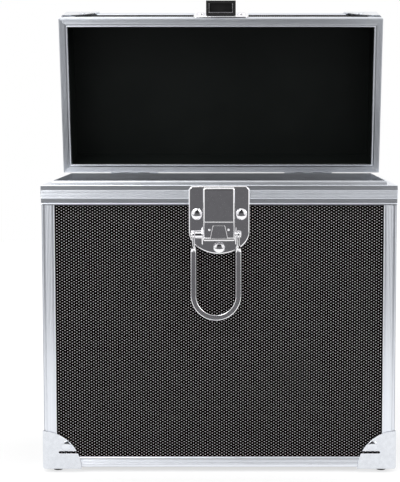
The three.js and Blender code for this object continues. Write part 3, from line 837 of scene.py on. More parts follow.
@dataclass
class Studio:
    """The camera, the pale floor, the dark cards that bright metal mirrors, and the soft light."""

    camera_spot: Spot = (0.0179, -1.34, 0.351)
    camera_turn: float = 85.302
    lens: float = 97.63
    shift: Point = (-0.07824, -0.05573)
    world: float = 0.92
    floor_height: float = -0.0066
    floor_half: float = 1.5
    floor_near: float = -0.9
    floor_colour: Colour = (0.86, 0.86, 0.865)
    seen_colour: Colour = (0.36, 0.36, 0.36)
    floor_lift: Colour = (0.65, 0.65, 0.65)
    card_lift: float = 0.001
    card_near: float = -0.8
    card_far: float = -2.1
    near_half: float = 0.45
    far_half: float = 0.9
    card_top: float = 0.35
    card_colour: Colour = (0.131, 0.13, 0.137)
    peak: float = 3.0
    peak_colour: Colour = (0.035, 0.035, 0.037)
    wide_near: float = -0.75
    wide_far: float = -1.7
    wide_half: float = 1.3
    wide_colour: Colour = (0.2, 0.205, 0.22)
    lamp_aim: Spot = (0, 0, 0.2)
    lamps: tuple[tuple[str, Spot, float, float], ...] = (
        ("key_light", (-0.9, -1.5, 1.9), 1.3, 22),
        ("fill_light", (1.5, -0.6, 1.1), 1.0, 7),
    )

    def build(self, bench: Bench) -> None:
        """Sets up the camera, the light and what the object stands on."""
        self._camera()
        self._world()
        self._floor(bench)
        self._cards(bench)
        for name, spot, size, power in self.lamps:
            self._lamp(name, spot, size, power)

    def _camera(self) -> None:
        """Puts the camera where the photograph was taken from."""
        deselect()
        turn = (math.radians(self.camera_turn), 0, 0)
        bpy.ops.object.camera_add(location=self.camera_spot, rotation=turn)
        camera = bpy.context.object
        camera.data.lens = self.lens
        camera.data.shift_x, camera.data.shift_y = self.shift
        bpy.context.scene.camera = camera

    def _world(self) -> None:
        """Lights the scene evenly, and shows white behind the object."""
        world = bpy.data.worlds.new("studio")
        bpy.context.scene.world = world
        world.use_nodes = True
        shade = Shading(world.node_tree)
        strength = self._seen(shade).between(self.world, 1.0)
        light = shade.node("ShaderNodeBackground", None, {0: (*WHITE, 1), 1: strength})
        shade.node("ShaderNodeOutputWorld", None, {0: light.out()})

    def _seen(self, shade: Shading) -> Wire:
        """1 for what is seen, straight on, mirrored or through glass, and 0 for bounced light."""
        path = shade.node("ShaderNodeLightPath")
        seen = path.wire("Is Camera Ray") + path.wire("Is Glossy Ray") + path.wire("Is Transmission Ray")
        return seen.least(1.0)

    def _floor(self, bench: Bench) -> None:
        """Lays the pale floor, lifted to white where it is seen, with its shadows kept."""
        deselect()
        middle = (0, self.floor_half + self.floor_near, self.floor_height)
        bpy.ops.mesh.primitive_plane_add(size=2 * self.floor_half, location=middle)
        floor = bpy.context.object
        floor.name = "floor"
        settle(floor, floor.matrix_world.copy())
        material, shade = new_material("pale_floor")
        lift = shade.mix(self._seen(shade), BLACK, self.floor_lift)
        colour = shade.mix(self._seen(shade), self.floor_colour, self.seen_colour)
        shade.surface(
            Base_Color=colour,
            Roughness=0.9,
            Specular_IOR_Level=0.1,
            Emission_Color=lift,
            Emission_Strength=1,
        )
        bench.dress(floor, material)

    def _cards(self, bench: Bench) -> None:
        """Sets out the cards, which stand for the dark parts of a room in front of the case."""
        low, far, top = self.floor_height + self.card_lift, self.card_far, self.card_top
        wide = taper(self.wide_half, self.wide_near, self.wide_half, self.wide_far)
        self._card(bench, "wide_card", in_xy(wide, low), self.wide_colour)
        near = taper(self.near_half, self.card_near, self.far_half, far)
        self._card(bench, "floor_card", in_xy(near, low + self.card_lift), self.card_colour)
        top_half = self.far_half * (1 - top / self.peak)
        upright = taper(self.far_half, low, top_half, top)
        self._card(bench, "upright_card", in_xz(upright, far), self.card_colour)
        peak = [(-top_half, top), (top_half, top), (0.0, self.peak)]
        self._card(bench, "peak_card", in_xz(peak, far), self.peak_colour)

    def _card(self, bench: Bench, name: str, outline: list[Vector], colour: Colour) -> None:
        """Makes one card.

        Args:
            bench: What dresses it.
            name: Its name.
            outline: Its corners.
            colour: Its colour in mirrors.
        """
        card = draw(name, outline)
        bpy.ops.object.mode_set(mode="OBJECT")
        material, shade = new_material(name)
        mirrored_only = shade.node("ShaderNodeLightPath").wire("Is Glossy Ray")
        clear = shade.node("ShaderNodeBsdfTransparent")
        plain = shade.node("ShaderNodeEmission", None, {0: (*colour, 1)})
        mixed = shade.node("ShaderNodeMixShader", None, [mirrored_only, clear.out(), plain.out()])
        shade.node("ShaderNodeOutputMaterial", None, {"Surface": mixed.out()})
        bench.dress(card, material)

    def _lamp(self, name: str, spot: Spot, size: float, power: float) -> None:
        """Hangs a soft square lamp that points at the case."""
        deselect()
        aim = (Vector(self.lamp_aim) - Vector(spot)).to_track_quat("-Z", "Y").to_euler()
        bpy.ops.object.light_add(type="AREA", location=spot, rotation=aim)
        lamp = bpy.context.object
        lamp.name = name
        lamp.data.shape = "SQUARE"
        lamp.data.size = size
        lamp.data.energy = power


@dataclass
class Panels:
    """The flat dimpled panels and the linings, which keep the frame's own shapes."""

    upright: tuple[str, ...] = ("front", "back", "left", "right")

    def build(self, bench: Bench) -> None:
        """Dresses the frame's panels and linings."""
        laminate, lining = DimpledLaminate(), BlackLining()
        for prefix in ("body", "lid"):
            for word in self.upright:
                facing = Facing.FRONT if word in ("front", "back") else Facing.SIDE
                material = bench.finish(laminate, facing, prefix == "lid")
                bench.dress(frame["nodes"][f"{prefix}_{word}_panel"], material)
            bench.dress(frame["nodes"][f"{prefix}_lining"], bench.finish(lining))
        bench.dress(frame["nodes"]["base_panel"], bench.finish(laminate, Facing.TOP, False))
        bench.dress(frame["nodes"]["lid_top_panel"], bench.finish(laminate, Facing.TOP, True))
        LOG.info("panels and linings dressed")


def crest(near: float, run: float, depth: float, shape: Point) -> list[Point]:
    """The line over one rib.

    Args:
        near: Where the rib starts.
        run: Its width, below zero where the line runs back.
        depth: The depth of the groove beside it.
        shape: How far in its shoulders lie, as a share of the width, and how deep, as one of the depth.

    Returns:
        Its two shoulders and the top between them, as distance and depth.
    """
    side, drop = shape
    return [(near + run * side, depth * drop), (near + run / 2, 0.0), (near + run * (1 - side), depth * drop)]


@dataclass
class AngleBars:
    """The ribbed angle extrusions: upright posts at the corners and bars along the outer edges."""

    rib: float = 0.00115
    rib_gap: float = 0.0003
    rib_depth: float = 0.0003
    rib_shape: Point = (0.15, 0.3)
    post_ribs: int = 6
    edge_ribs: int = 4
    plain: float = 0.0021
    end_cut: float = 0.0008
    rounding: float = 0.00022

    def build(self, bench: Bench) -> None:
        """Makes the posts and edge bars of the body and the lid."""
        self._posts(bench, Body.CASE, "body", CASE.bottom, CASE.rim_top - CASE.body_rail - CASE.gap)
        self._posts(bench, Body.LID, "lid", CASE.lid_low + CASE.lid_rail + CASE.gap, CASE.lid_top)
        self._edges(bench, Body.CASE, "base", CASE.bottom, 1)
        self._edges(bench, Body.LID, "lid_top", CASE.lid_top, -1)

    def _ribs(self, leg: float, count: int) -> list[Point]:
        """The outer face's line from the leg's end back to the corner, as distance and depth."""
        start, pitch = leg - self.plain, self.rib + self.rib_gap
        points = [(leg, self.end_cut), (leg - self.end_cut, 0.0), (start, 0.0)]
        for index in range(count):
            near = start - index * pitch
            points.append((near - self.rib_gap / 2, self.rib_depth))
            points += crest(near - self.rib_gap, -self.rib, self.rib_depth, self.rib_shape)
        near = start - count * pitch
        return [*points, (near - self.rib_gap / 2, self.rib_depth), (near - self.rib_gap, 0.0)]

    def _section(self, leg: float, count: int) -> list[Point]:
        """The bar's section from its outer corner, one leg along each axis."""
        ribs = self._ribs(leg, count)
        bend = arc((CASE.corner_round, CASE.corner_round), CASE.corner_round, 270, 180, 5)
        thin, core = CASE.flange, CASE.core
        inside = [(thin, leg), (thin, core), (core, core), (core, thin), (leg, thin)]
        return ribs + bend + [(deep, along) for along, deep in reversed(ribs)] + inside

    def _posts(self, bench: Bench, body: Body, prefix: str, low: float, high: float) -> None:
        """Makes one post and mirrors it to the four corners."""
        section = self._section(CASE.post_leg, self.post_ribs)
        line = in_xy([(x - CASE.outer_x, y - CASE.outer_y) for x, y in section], low)
        first = polish(slab(f"{prefix}_post", line, (high - low) * ALONG_Z), self.rounding, 2, 60, 50)
        for corner, place in corners():
            node = f"{prefix}_{corner}_post"
            bench.fix(copy_of(first, f"{node}_bar", place), body, ALUMINIUM, node, grain=Grain.Z)
        discard(first)

    def _edges(self, bench: Bench, body: Body, prefix: str, height: float, inward: int) -> None:
        """Makes the bars along the four outer edges of the bottom or of the lid's top."""
        section = [(out, height + inward * up) for out, up in self._section(CASE.edge_leg, self.edge_ribs)]
        clear = CASE.post_leg + CASE.gap
        half_x, half_y = CASE.outer_x - clear, CASE.outer_y - clear
        long_line = in_yz([(y - CASE.outer_y, z) for y, z in section], -half_x)
        short_line = in_xz([(x - CASE.outer_x, z) for x, z in section], -half_y)
        long_bar = slab(f"{prefix}_long", long_line, Vector((2 * half_x, 0, 0)))
        short_bar = slab(f"{prefix}_short", short_line, Vector((0, 2 * half_y, 0)))
        pairs = ((long_bar, Grain.X, ("front", "back")), (short_bar, Grain.Y, ("left", "right")))
        for bar, grain, words in pairs:
            polish(bar, self.rounding, 2, 60, 50)
            for word in words:
                node = f"{prefix}_{word}_edge"
                twin = copy_of(bar, f"{node}_bar", mirrored(word == "right", word == "back"))
                bench.fix(twin, body, ALUMINIUM, node, grain=grain)
            discard(bar)


@dataclass
class Rims:
    """The rim rails, each of four extruded bars that meet in mitres.

    A rail's section is given as inset from the case's outside, and height. The body's rail has a lip
    below, a groove, ribs, a plain shoulder and the tongue that the lid closes over. The lid's has ribs
    on its outside and on the face that meets the body, and a bead along that face's inner edge.
    """

    skin: float = 0.0022
    wall: float = 0.002
    corner: float = 0.0018
    corner_cuts: int = 3
    rib: float = 0.00115
    rib_gap: float = 0.0002
    rib_depth: float = 0.0004
    rib_shape: Point = (0.16, 0.28)
    ribs: int = 6
    recess: float = 0.0007
    foot_lip: tuple[Point, ...] = ((0.0, 0.0), (0.0, 0.0011), (0.0004, 0.0016), (0.0007, 0.0017))
    groove_top: float = 0.0059
    ribs_low: float = 0.0062
    shoulder: float = 0.0045
    shoulder_lean: float = 0.00012
    top_round: float = 0.0005
    tongue_out: float = 0.0096
    tongue_in: float = 0.0111
    tongue_rise: float = 0.0039
    tongue_cut: float = 0.0006
    tongue_flat: float = 0.0003
    lip_out: float = 0.00945
    lip_drop: float = 0.01
    lid_width: float = 0.0094
    lid_lip: float = 0.005
    lid_lip_wall: float = 0.001
    lid_corner: tuple[Point, Point] = ((0.0002, 0.0008), (0.0007, 0.0001))
    face_start: float = 0.0012
    face_ribs: int = 4
    bead_start: float = 0.0077
    bead_run: tuple[float, ...] = (0.0, 0.0003, 0.0007, 0.0011, 0.0015, 0.0017)
    bead_rise: tuple[float, ...] = (0.0004, -0.0001, -0.0003, -0.0003, -0.0001, 0.0003)
    lid_band: float = 0.0012
    band_cut: float = 0.0003
    lid_ribs_drop: float = 0.0028
    cut_slack: float = 1e-7
    rounding: float = 0.00018

    def build(self, bench: Bench) -> None:
        """Makes the body's rail with its tongue, and the lid's."""
        self._rail(bench, Body.CASE, "body_rim", self._body_section(), ALUMINIUM)
        # The lid's rail takes the aluminium with painted shade.
        self._rail(bench, Body.LID, "lid_rim", self._lid_section(), LID_RIM_SHADED)

    def _rib_line(self, start: float, way: int, count: int) -> list[Point]:
        """The line over a field of ribs, as distance along it and depth."""
        points = []
        for index in range(count):
            near = start + way * index * (self.rib + self.rib_gap)
            over = crest(near, way * self.rib, self.rib_depth, self.rib_shape)
            points += [(near, self.rib_depth), *over, (near + way * self.rib, self.rib_depth)]
        return points

    def _body_section(self) -> list[Point]:
        """The body rail's section."""
        top, low, deep = CASE.rim_top, CASE.rim_top - CASE.body_rail, self.rib_depth
        return [
            *((inset, low + rise) for inset, rise in self.foot_lip),
            (self.recess, low + self.groove_top),
            *((inset, height) for height, inset in self._rib_line(low + self.ribs_low, 1, self.ribs)),
            (deep, top - self.shoulder),
            (deep + self.shoulder_lean, top - self.top_round),
            (deep + self.top_round, top),
            (self.tongue_out, top),
            (self.tongue_in - self.tongue_flat - self.tongue_cut, top + self.tongue_rise - self.tongue_cut),
            (self.tongue_in - self.tongue_flat, top + self.tongue_rise),
            (self.tongue_in, top + self.tongue_rise),
            (self.tongue_in, top - self.lip_drop),
            (self.lip_out, top - self.lip_drop),
            (self.lip_out, top - self.wall),
            (self.skin, top - self.wall),
            (self.skin, low),
        ]

    def _lid_section(self) -> list[Point]:
        """The lid rail's section."""
        low, high = CASE.lid_low, CASE.lid_low + CASE.lid_rail
        outer, under = self.lid_corner
        lip_in = self.lid_width - self.lid_lip_wall
        return [
            (under[0], low + under[1]),
            *((inset, low + deep) for inset, deep in self._rib_line(self.face_start, 1, self.face_ribs)),
            *((self.bead_start + run, low + rise) for run, rise in zip(self.bead_run, self.bead_rise)),
            (self.lid_width, low + self.lid_lip),
            (lip_in, low + self.lid_lip),
            (lip_in, low + self.wall),
            (self.skin, low + self.wall),
            (self.skin, high),
            (0.0, high),
            (0.0, high - self.lid_band),
            (self.recess, high - self.lid_band - self.band_cut),
            *((deep, height) for height, deep in self._rib_line(high - self.lid_ribs_drop, -1, self.ribs)),
            (outer[0], low + outer[1]),
        ]

    def _rail(self, bench: Bench, body: Body, node: str, section: list[Point], metal: Metal) -> None:
        """Makes the four bars of one rail.

        Args:
            bench: What dresses and fixes them.
            body: The body they move with.
            node: The frame's node that they stand for.
            section: The rail's section.
            metal: What it is made of.
        """
        half_x, half_y = CASE.half_width, CASE.half_depth
        front_line = in_yz([(inset - half_y, height) for inset, height in section], -half_x)
        left_line = in_xz([(inset - half_x, height) for inset, height in section], -half_y)
        front = slab(f"{node}_front", front_line, Vector((2 * half_x, 0, 0)))
        left = slab(f"{node}_left", left_line, Vector((0, 2 * half_y, 0)))
        for bar in (front, left):
            self._mitre(bar, bar is front)
            polish(bar, self.rounding, 2, 60, 50)
        back = copy_of(front, f"{node}_back", mirrored(False, True))
        right = copy_of(left, f"{node}_right", mirrored(True, False))
        for bar, grain in ((front, Grain.X), (back, Grain.X), (left, Grain.Y), (right, Grain.Y)):
            bench.fix(bar, body, metal, node, grain=grain)

    def _mitre(self, bar: Thing, along_x: bool) -> None:
        """Cuts both ends of a bar at 45 degrees, and rounds the outer corners with a few more cuts."""
        edit(bar)
        for side in (-1, 1):
            way = Vector((side, -1, 0)) if along_x else Vector((-1, side, 0))
            away = Vector((way.x, -way.y, 0)) if along_x else Vector((-way.x, way.y, 0))
            corner = Vector((way.x * CASE.half_width, way.y * CASE.half_depth, 0))
            self._bisect(corner, away.normalized())
            for cut in range(self.corner_cuts):
                turn = math.radians(45 * (cut + 0.5) / self.corner_cuts)
                far, aside = (math.sin(turn), math.cos(turn)) if along_x else (math.cos(turn), math.sin(turn))
                outward = Vector((way.x * far, way.y * aside, 0))
                self._bisect(corner + self.corner * (outward - way), outward)
        close_up(bar)

    def _bisect(self, spot: Vector, away: Vector) -> None:
        """Cuts off what lies beyond a plane, and closes the cut."""
        bpy.ops.mesh.select_all(action="SELECT")
        settings = {"use_fill": True, "clear_inner": False, "clear_outer": True}
        bpy.ops.mesh.bisect(plane_co=spot, plane_no=away, threshold=self.cut_slack, **settings)


@dataclass(frozen=True)
class DomeRivet:
    """A rivet's low domed head with a short upright rim."""

    radius: float
    rise: float
    rim: float = 0.0003
    steps: int = 36

    def make(self, name: str, spot: Vector, outward: Vector) -> Thing:
        """Turns the head and seats it.

        Args:
            name: The new piece's name.
            spot: The middle of its seat.
            outward: The way its dome points.

        Returns:
            The head, in object mode.
        """
        curve = arc((0, 0), 1.0, 0, 90, 8)[:-1]
        dome = [(self.rim + (self.rise - self.rim) * up, self.radius * out) for out, up in curve]
        profile = [(-self.rim, 0.0), (-self.rim, self.radius), *dome, (self.rise, 0.0)]
        head = lathe(name, profile, Vector(), ALONG_Z, self.steps)
        turned = outward.to_track_quat("Z", "Y").to_matrix().to_4x4()
        return smooth(settle(head, Matrix.Translation(spot) @ turned), 50)


@dataclass
class Protectors:
    """Pressed steel corners, rounded over three faces, with a slot and a rivet in each upright face."""

    radius: float = 0.038
    thickness: float = 0.0012
    rounding: float = 0.0024
    rivet_place: float = 0.0218
    slot_end: float = 0.0143
    slot_rise: float = 0.0155
    slot_half: float = 0.00115
    slot_run: float = 0.002
    slot_depth: float = 0.006
    edge_round: float = 0.0005
    inward_limit: float = 0.9
    rivet: DomeRivet = DomeRivet(0.005, 0.0013)

    def build(self, bench: Bench) -> None:
        """Models one corner, and mirrors it to the eight corners."""
        first, heads = self._corner(), join(*self._rivets())
        turned_over = Matrix.Translation((0, 0, CASE.bottom + CASE.lid_top)) @ Matrix.Diagonal((1, 1, -1, 1))
        for body, prefix, turn in ((Body.CASE, "base", Matrix()), (Body.LID, "lid", turned_over)):
            for corner, place in corners():
                node = f"{prefix}_{corner}_protector"
                bench.fix(copy_of(first, f"{node}_shell", turn @ place), body, STEEL, node)
                bench.fix(copy_of(heads, f"{node}_rivets", turn @ place), body, BRIGHT_STEEL)
        discard(first, heads)

    def _corner(self) -> Thing:
        """Models the lower left front corner."""
        off = CASE.gap + self.thickness
        corner = Vector((-CASE.outer_x - off, -CASE.outer_y - off, CASE.bottom - off))
        shell = block("corner_shell", corner, corner + 2 * Vector((self.radius,) * 3))
        edit(shell)
        pick_edges(shell, lambda *ends: min((end - corner).length for end in ends) < TOUCH)
        bpy.ops.mesh.bevel(offset=self.rounding, segments=10, affect="EDGES")
        pick_faces(shell, lambda middle, normal: max(normal) > self.inward_limit)
        bpy.ops.mesh.delete(type="FACE")
        thicken(shell, self.thickness)
        deselect()
        bpy.ops.mesh.primitive_uv_sphere_add(segments=96, ring_count=48, radius=self.radius)
        combine(shell, settle(bpy.context.object, Matrix.Translation(corner)), Cut.WITHIN)
        combine(shell, self._slot_cutter(in_xz, corner.x, corner.z, corner.y, ALONG_Y), Cut.AWAY)
        combine(shell, self._slot_cutter(in_yz, corner.y, corner.z, corner.x, ALONG_X), Cut.AWAY)
        return polish(close_up(shell), self.edge_round, 4, 50, 10)

    def _slot_cutter(self, flat: Callable, start: float, low: float, face: float, inward: Vector) -> Thing:
        """Makes the block that cuts one slot, round at its inner end.

        Args:
            flat: Stands its outline up.
            start: Where the corner lies along the face.
            low: The corner's height.
            face: Where the face lies.
            inward: The way into the face.

        Returns:
            The block.
        """
        off = CASE.gap + self.thickness
        height, end = low + off + self.slot_rise, start + self.radius + self.slot_run
        line = arc((start + off + self.slot_end + self.slot_half, height), self.slot_half, 90, 270, 8)
        line += [(end, height - self.slot_half), (end, height + self.slot_half)]
        return slab("slot_cutter", flat(line, face - self.slot_run), inward * self.slot_depth)

    def _rivets(self) -> list[Thing]:
        """Makes the corner's three rivets."""
        near = Vector((-CASE.outer_x, -CASE.outer_y, CASE.bottom))
        made = []
        for axis in range(3):
            spot, outward = near + Vector((self.rivet_place,) * 3), Vector()
            spot[axis] = near[axis] - CASE.gap - self.thickness
            outward[axis] = -1
            made.append(self.rivet.make("corner_rivet", spot, outward))
        return made


@dataclass
class Feet:
    """Four rubber feet under the corners, each with a shallow hollow in its flat underside."""

    radius: float = 0.006
    seat: float = -0.0033
    drop: float = 0.0032
    flat: float = 0.0033
    hollow: float = 0.0004
    hollow_wall: float = 0.0004
    hollow_slope: float = 0.0005
    place: float = 0.012

    def build(self, bench: Bench) -> None:
        """Turns one foot and copies it to the corners."""
        wall_in, roof = self.flat - self.hollow_wall, self.hollow - self.drop
        profile = [(roof, 0.0), (roof, wall_in - self.hollow_slope), (-self.drop, wall_in)]
        bow = arc((0, 0), 1, 90, 0, 6)
        profile += [(-self.drop * down, self.flat + (self.radius - self.flat) * out) for out, down in bow]
        spot = Vector((self.place - CASE.outer_x, self.place - CASE.outer_y, self.seat))
        first = smooth(lathe("foot", [*profile, (0.0, 0.0)], spot, ALONG_Z, 32), 50)
        for corner, place in corners():
            node = f"{corner}_foot"
            bench.fix(copy_of(first, f"{node}_rubber", place), Body.CASE, RUBBER, node)
        discard(first)


@dataclass(frozen=True)
class LatchSizes:
    """Where the latch lies, and the sizes that its pieces share."""

    face: float = -0.0859
    back: float = -0.0843
    panel: float = -0.0818
    top: float = 0.275
    half_width: float = 0.0295
    corner_cut: float = 0.0032
    rounding: float = 0.0016
    room_half: float = 0.04
    room_past: float = 0.002
    axle_y: float = -0.0919
    axle_z: float = 0.2284
    bail_middle: float = -0.003
    ear_place: float = 0.02165
    rivet: DomeRivet = DomeRivet(0.0056, 0.0023)

    def axle(self, x: float = 0.0) -> Vector:
        """A point on the axle."""
        return Vector((x, self.axle_y, self.axle_z))

    def plate(self, name: str, line: Sequence[Point], room: Point) -> Thing:
        """Makes a plate on the front that steps over a rim rail.

        Args:
            name: The new piece's name.
            line: Its outline.
            room: The heights that it leaves free for the rail.

        Returns:
            The plate.
        """
        plate = slab(name, in_xz(line, self.face), Vector((0, self.panel - self.face, 0)))
        low = Vector((-self.room_half, self.back, room[0]))
        high = Vector((self.room_half, self.panel + self.room_past, room[1]))
        combine(plate, block("rail_room", low, high), Cut.AWAY)
        edit(close_up(plate))
        pick_edges(plate, lambda *ends: max(abs(end.y - self.face) for end in ends) < TOUCH)
        bpy.ops.mesh.bevel(offset=self.rounding, segments=5, affect="EDGES")
        return smooth(plate)


LATCH = LatchSizes()


@dataclass
class LatchPlate:
    """The latch's base plate with two lugs, and the three domed rivets that hold it."""

    straight: float = 0.044
    low_round: float = 0.022
    rail_room: float = 0.0183
    lug_seat: float = 0.0004
    lug_place: float = 0.01
    lug_half: float = 0.001
    lug_radius: float = 0.0029
    lug_stem: float = 0.0019
    lug_turn: Point = (41, 319)
    lug_round: float = 0.0002
    cheek_place: float = 0.0155
    cheek_wall: float = 0.0012
    cheek_radius: float = 0.0038
    cheek_rise: float = 0.0068
    cheek_turn: Point = (100, 200)
    cheek_point: tuple[Point, Point] = ((0.0014, 0.0082), (0.0, 0.0096))
    cheek_drop: float = 0.0102
    cheek_round: float = 0.0004
    rivet_spots: tuple[tuple[str, float, float], ...] = (
        ("left", -0.0214, 0.248),
        ("right", 0.0214, 0.248),
        ("bottom", 0.0, 0.2157),
    )

    def build(self, bench: Bench) -> None:
        """Makes the plate and its rivets."""
        bench.fix(join(self._plate(), *self._lugs()), Body.CASE, CHROME, "latch_plate")
        for word, x, z in self.rivet_spots:
            head = LATCH.rivet.make(f"latch_{word}_dome", Vector((x, LATCH.face, z)), TO_FRONT)
            bench.fix(head, Body.CASE, CHROME, f"latch_{word}_rivet")

    def _plate(self) -> Thing:
        """Makes the plate, with room behind it for the rim rail."""
        half, cut, top = LATCH.half_width, LATCH.corner_cut, LATCH.top
        line = [(-half, top - cut), (-half + cut, top), (half - cut, top), (half, top - cut)]
        line += [(half * x, top - self.straight - self.low_round * z) for x, z in arc((0, 0), 1, 0, 180, 32)]
        room = (CASE.rim_top - self.rail_room, CASE.rim_top + LATCH.room_past)
        return LATCH.plate("latch_base", line, room)

    def _lugs(self) -> list[Thing]:
        """Makes the lugs that carry the axle, two under the lever and a larger one on each side of it."""
        middle, seat = (LATCH.axle_y, LATCH.axle_z), LATCH.face + self.lug_seat
        bow = arc(middle, self.lug_radius, *self.lug_turn, 16)
        small = [(seat, LATCH.axle_z + self.lug_stem), *bow, (seat, LATCH.axle_z - self.lug_stem)]
        cheek = [(seat, LATCH.axle_z + self.cheek_rise)]
        cheek += arc(middle, self.cheek_radius, *self.cheek_turn, 10)
        cheek += [(LATCH.axle_y - out, LATCH.axle_z - down) for out, down in self.cheek_point]
        cheek.append((seat, LATCH.axle_z - self.cheek_drop))
        lugs = []
        for side in (-1, 1):
            lug_line = in_yz(small, side * self.lug_place - self.lug_half)
            lug = slab("latch_lug", lug_line, 2 * self.lug_half * ALONG_X)
            cheek_line = in_yz(cheek, side * self.cheek_place)
            plate = slab("latch_cheek", cheek_line, side * self.cheek_wall * ALONG_X)
            lugs += [polish(lug, self.lug_round, 2, 35), polish(plate, self.cheek_round, 3, 35)]
        return lugs


@dataclass
class Lever:
    """The latch's pressed lever: a flat face, a fold and a flap with a rolled foot over the axle."""

    half_width: float = 0.0152
    wall: float = 0.0015
    proud: float = 0.013
    top: float = 0.0459
    top_round: float = 0.0025
    fold: float = 0.013
    flap_proud: float = 0.0118
    flap_drop: float = 0.0044
    heel: float = 0.0052
    axle_out: float = 0.006
    side_round: float = 0.0019
    wall_round: float = 0.00025
    back_limit: float = 0.7
    down_limit: float = 0.45
    foot_radius: float = 0.0019
    foot_in: float = 0.0008
    foot_up: float = 0.0007
    foot_bend: float = 0.4
    foot_cut: float = 0.3
    bead: float = 0.0006
    bead_end: float = 0.0004
    bead_tip: float = 0.7
    bead_sunk: float = 0.55
    field_rise: float = 0.0006
    field_sunk: float = 0.0003
    field_round: float = 0.0007
    field_top: float = 0.0034
    field_top_half: float = 0.0058
    field_low_half: float = 0.0088
    dimple_place: float = 0.0092
    dimple_drop: float = 0.0076
    dimple: DomeRivet = DomeRivet(0.0011, 0.0006, 0.0001, 20)

    def build(self, bench: Bench) -> None:
        """Makes the lever."""
        lever = slab("latch_lever_shell", self._outline(-self.half_width), 2 * self.half_width * ALONG_X)
        soften(lever, self.side_round, 3, 60)
        edit(lever)
        open_back = LATCH.face - self.axle_out + self.heel - self.wall

        def is_open(middle: Vector, normal: Vector) -> bool:
            """Whether a face is on the open back or under the flap."""
            under = normal.z < -self.down_limit and middle.z < LATCH.axle_z
            return (normal.y > self.back_limit and middle.y > open_back) or under

        pick_faces(lever, is_open)
        bpy.ops.mesh.delete(type="FACE")
        thicken(lever, self.wall)
        polish(lever, self.wall_round, 2, 60, 35)
        join(lever, self._foot(), *self._pressings())
        bench.fix(lever, Body.LEVER, CHROME, "latch_lever")

    def _outline(self, x: float) -> list[Vector]:
        """The lever's side outline, given as distance out from the plate and height over the axle."""
        crown = arc((self.proud - self.top_round, self.top - self.top_round), self.top_round, 0, 90, 5)
        heel = arc((self.axle_out, 0), self.heel, 180, 270, 6)
        foot = (self.flap_proud, -self.flap_drop)
        line = [*heel, foot, (self.proud, self.fold), *crown, (self.axle_out - self.heel, self.top)]
        return [Vector((x, LATCH.face - out, LATCH.axle_z + up)) for out, up in line]

    def _foot(self) -> Thing:
        """Turns the rolled foot that runs along the flap's lower edge."""
        half, radius, bend = self.half_width, self.foot_radius, self.foot_radius * self.foot_bend
        cut = bend * self.foot_cut
        ends = [(half - bend, radius), (half - cut, radius - cut), (half, radius - bend), (half, 0.0)]
        out = self.flap_proud - self.foot_in
        spot = Vector((0, LATCH.face - out, LATCH.axle_z - self.flap_drop + self.foot_up))
        section = [(-x, out) for x, out in reversed(ends)] + ends
        return smooth(lathe("lever_foot", section, spot, ALONG_X, 24), 50)

    def _pressings(self) -> list[Thing]:
        """Presses a bead along the fold, and a raised field and two small dimples into the flap."""
        run = self.fold + self.flap_drop
        fold = Matrix.Translation((0, LATCH.face - self.proud, LATCH.axle_z + self.fold))
        lean = fold @ Matrix.Rotation(math.atan2(self.proud - self.flap_proud, run), 4, "X")
        line = taper(self.field_low_half, -run, self.field_top_half, -self.field_top)
        depth = Vector((0, -self.field_sunk - self.field_rise, 0))
        field = slab("lever_field", in_xz(line, self.field_sunk), depth)
        half, bead = self.half_width - self.side_round, self.bead
        section = [(-half, 0.0), (-half, bead * self.bead_tip), (self.bead_end - half, bead)]
        section += [(-x, out) for x, out in reversed(section)]
        crease = lathe("lever_crease", section, bead * self.bead_sunk * ALONG_Y, ALONG_X, 24)
        polish(field, self.field_round, 4, 30, 50)
        pressings = [settle(smooth(crease, 50), fold), settle(field, lean)]
        for side in (-1, 1):
            spot = lean @ Vector((side * self.dimple_place, 0, -self.dimple_drop))
            pressings.append(self.dimple.make("lever_dimple", spot, lean.to_3x3() @ TO_FRONT))
        return pressings


@dataclass
class Axle:
    """The latch's axle with its two heads and the spacer beside the lever.

    A head's outline is given as its distance past the rod's end, and its radius as a share of the head's.
    """

    radius: float = 0.0018
    head: float = 0.003
    cap: tuple[Point, ...] = ((0.0014, 0.0), (0.0014, 0.6), (0.001, 0.92), (0.0004, 1.0), (0.0, 1.0))
    spacer: float = 0.0036
    spacer_round: float = 0.0003
    left: float = -0.02605
    right: float = 0.02005
    spacer_left: float = -0.02325
    spacer_right: float = -0.0155

    def build(self, bench: Bench) -> None:
        """Turns the axle."""
        bend = self.spacer_round
        cap = [(along, self.head * share) for along, share in self.cap]
        section = [
            *((self.left - along, out) for along, out in cap),
            (self.left, self.radius),
            (self.spacer_left, self.radius),
            (self.spacer_left, self.spacer - bend),
            (self.spacer_left + bend, self.spacer),
            (self.spacer_right - bend, self.spacer),
            (self.spacer_right, self.spacer - bend),
            (self.spacer_right, self.radius),
            (self.right, self.radius),
            *((self.right + along, out) for along, out in reversed(cap)),
        ]
        axle = smooth(lathe("latch_axle_rod", section, LATCH.axle(), ALONG_X, 32))
        bench.fix(axle, Body.CASE, CHROME, "latch_axle")


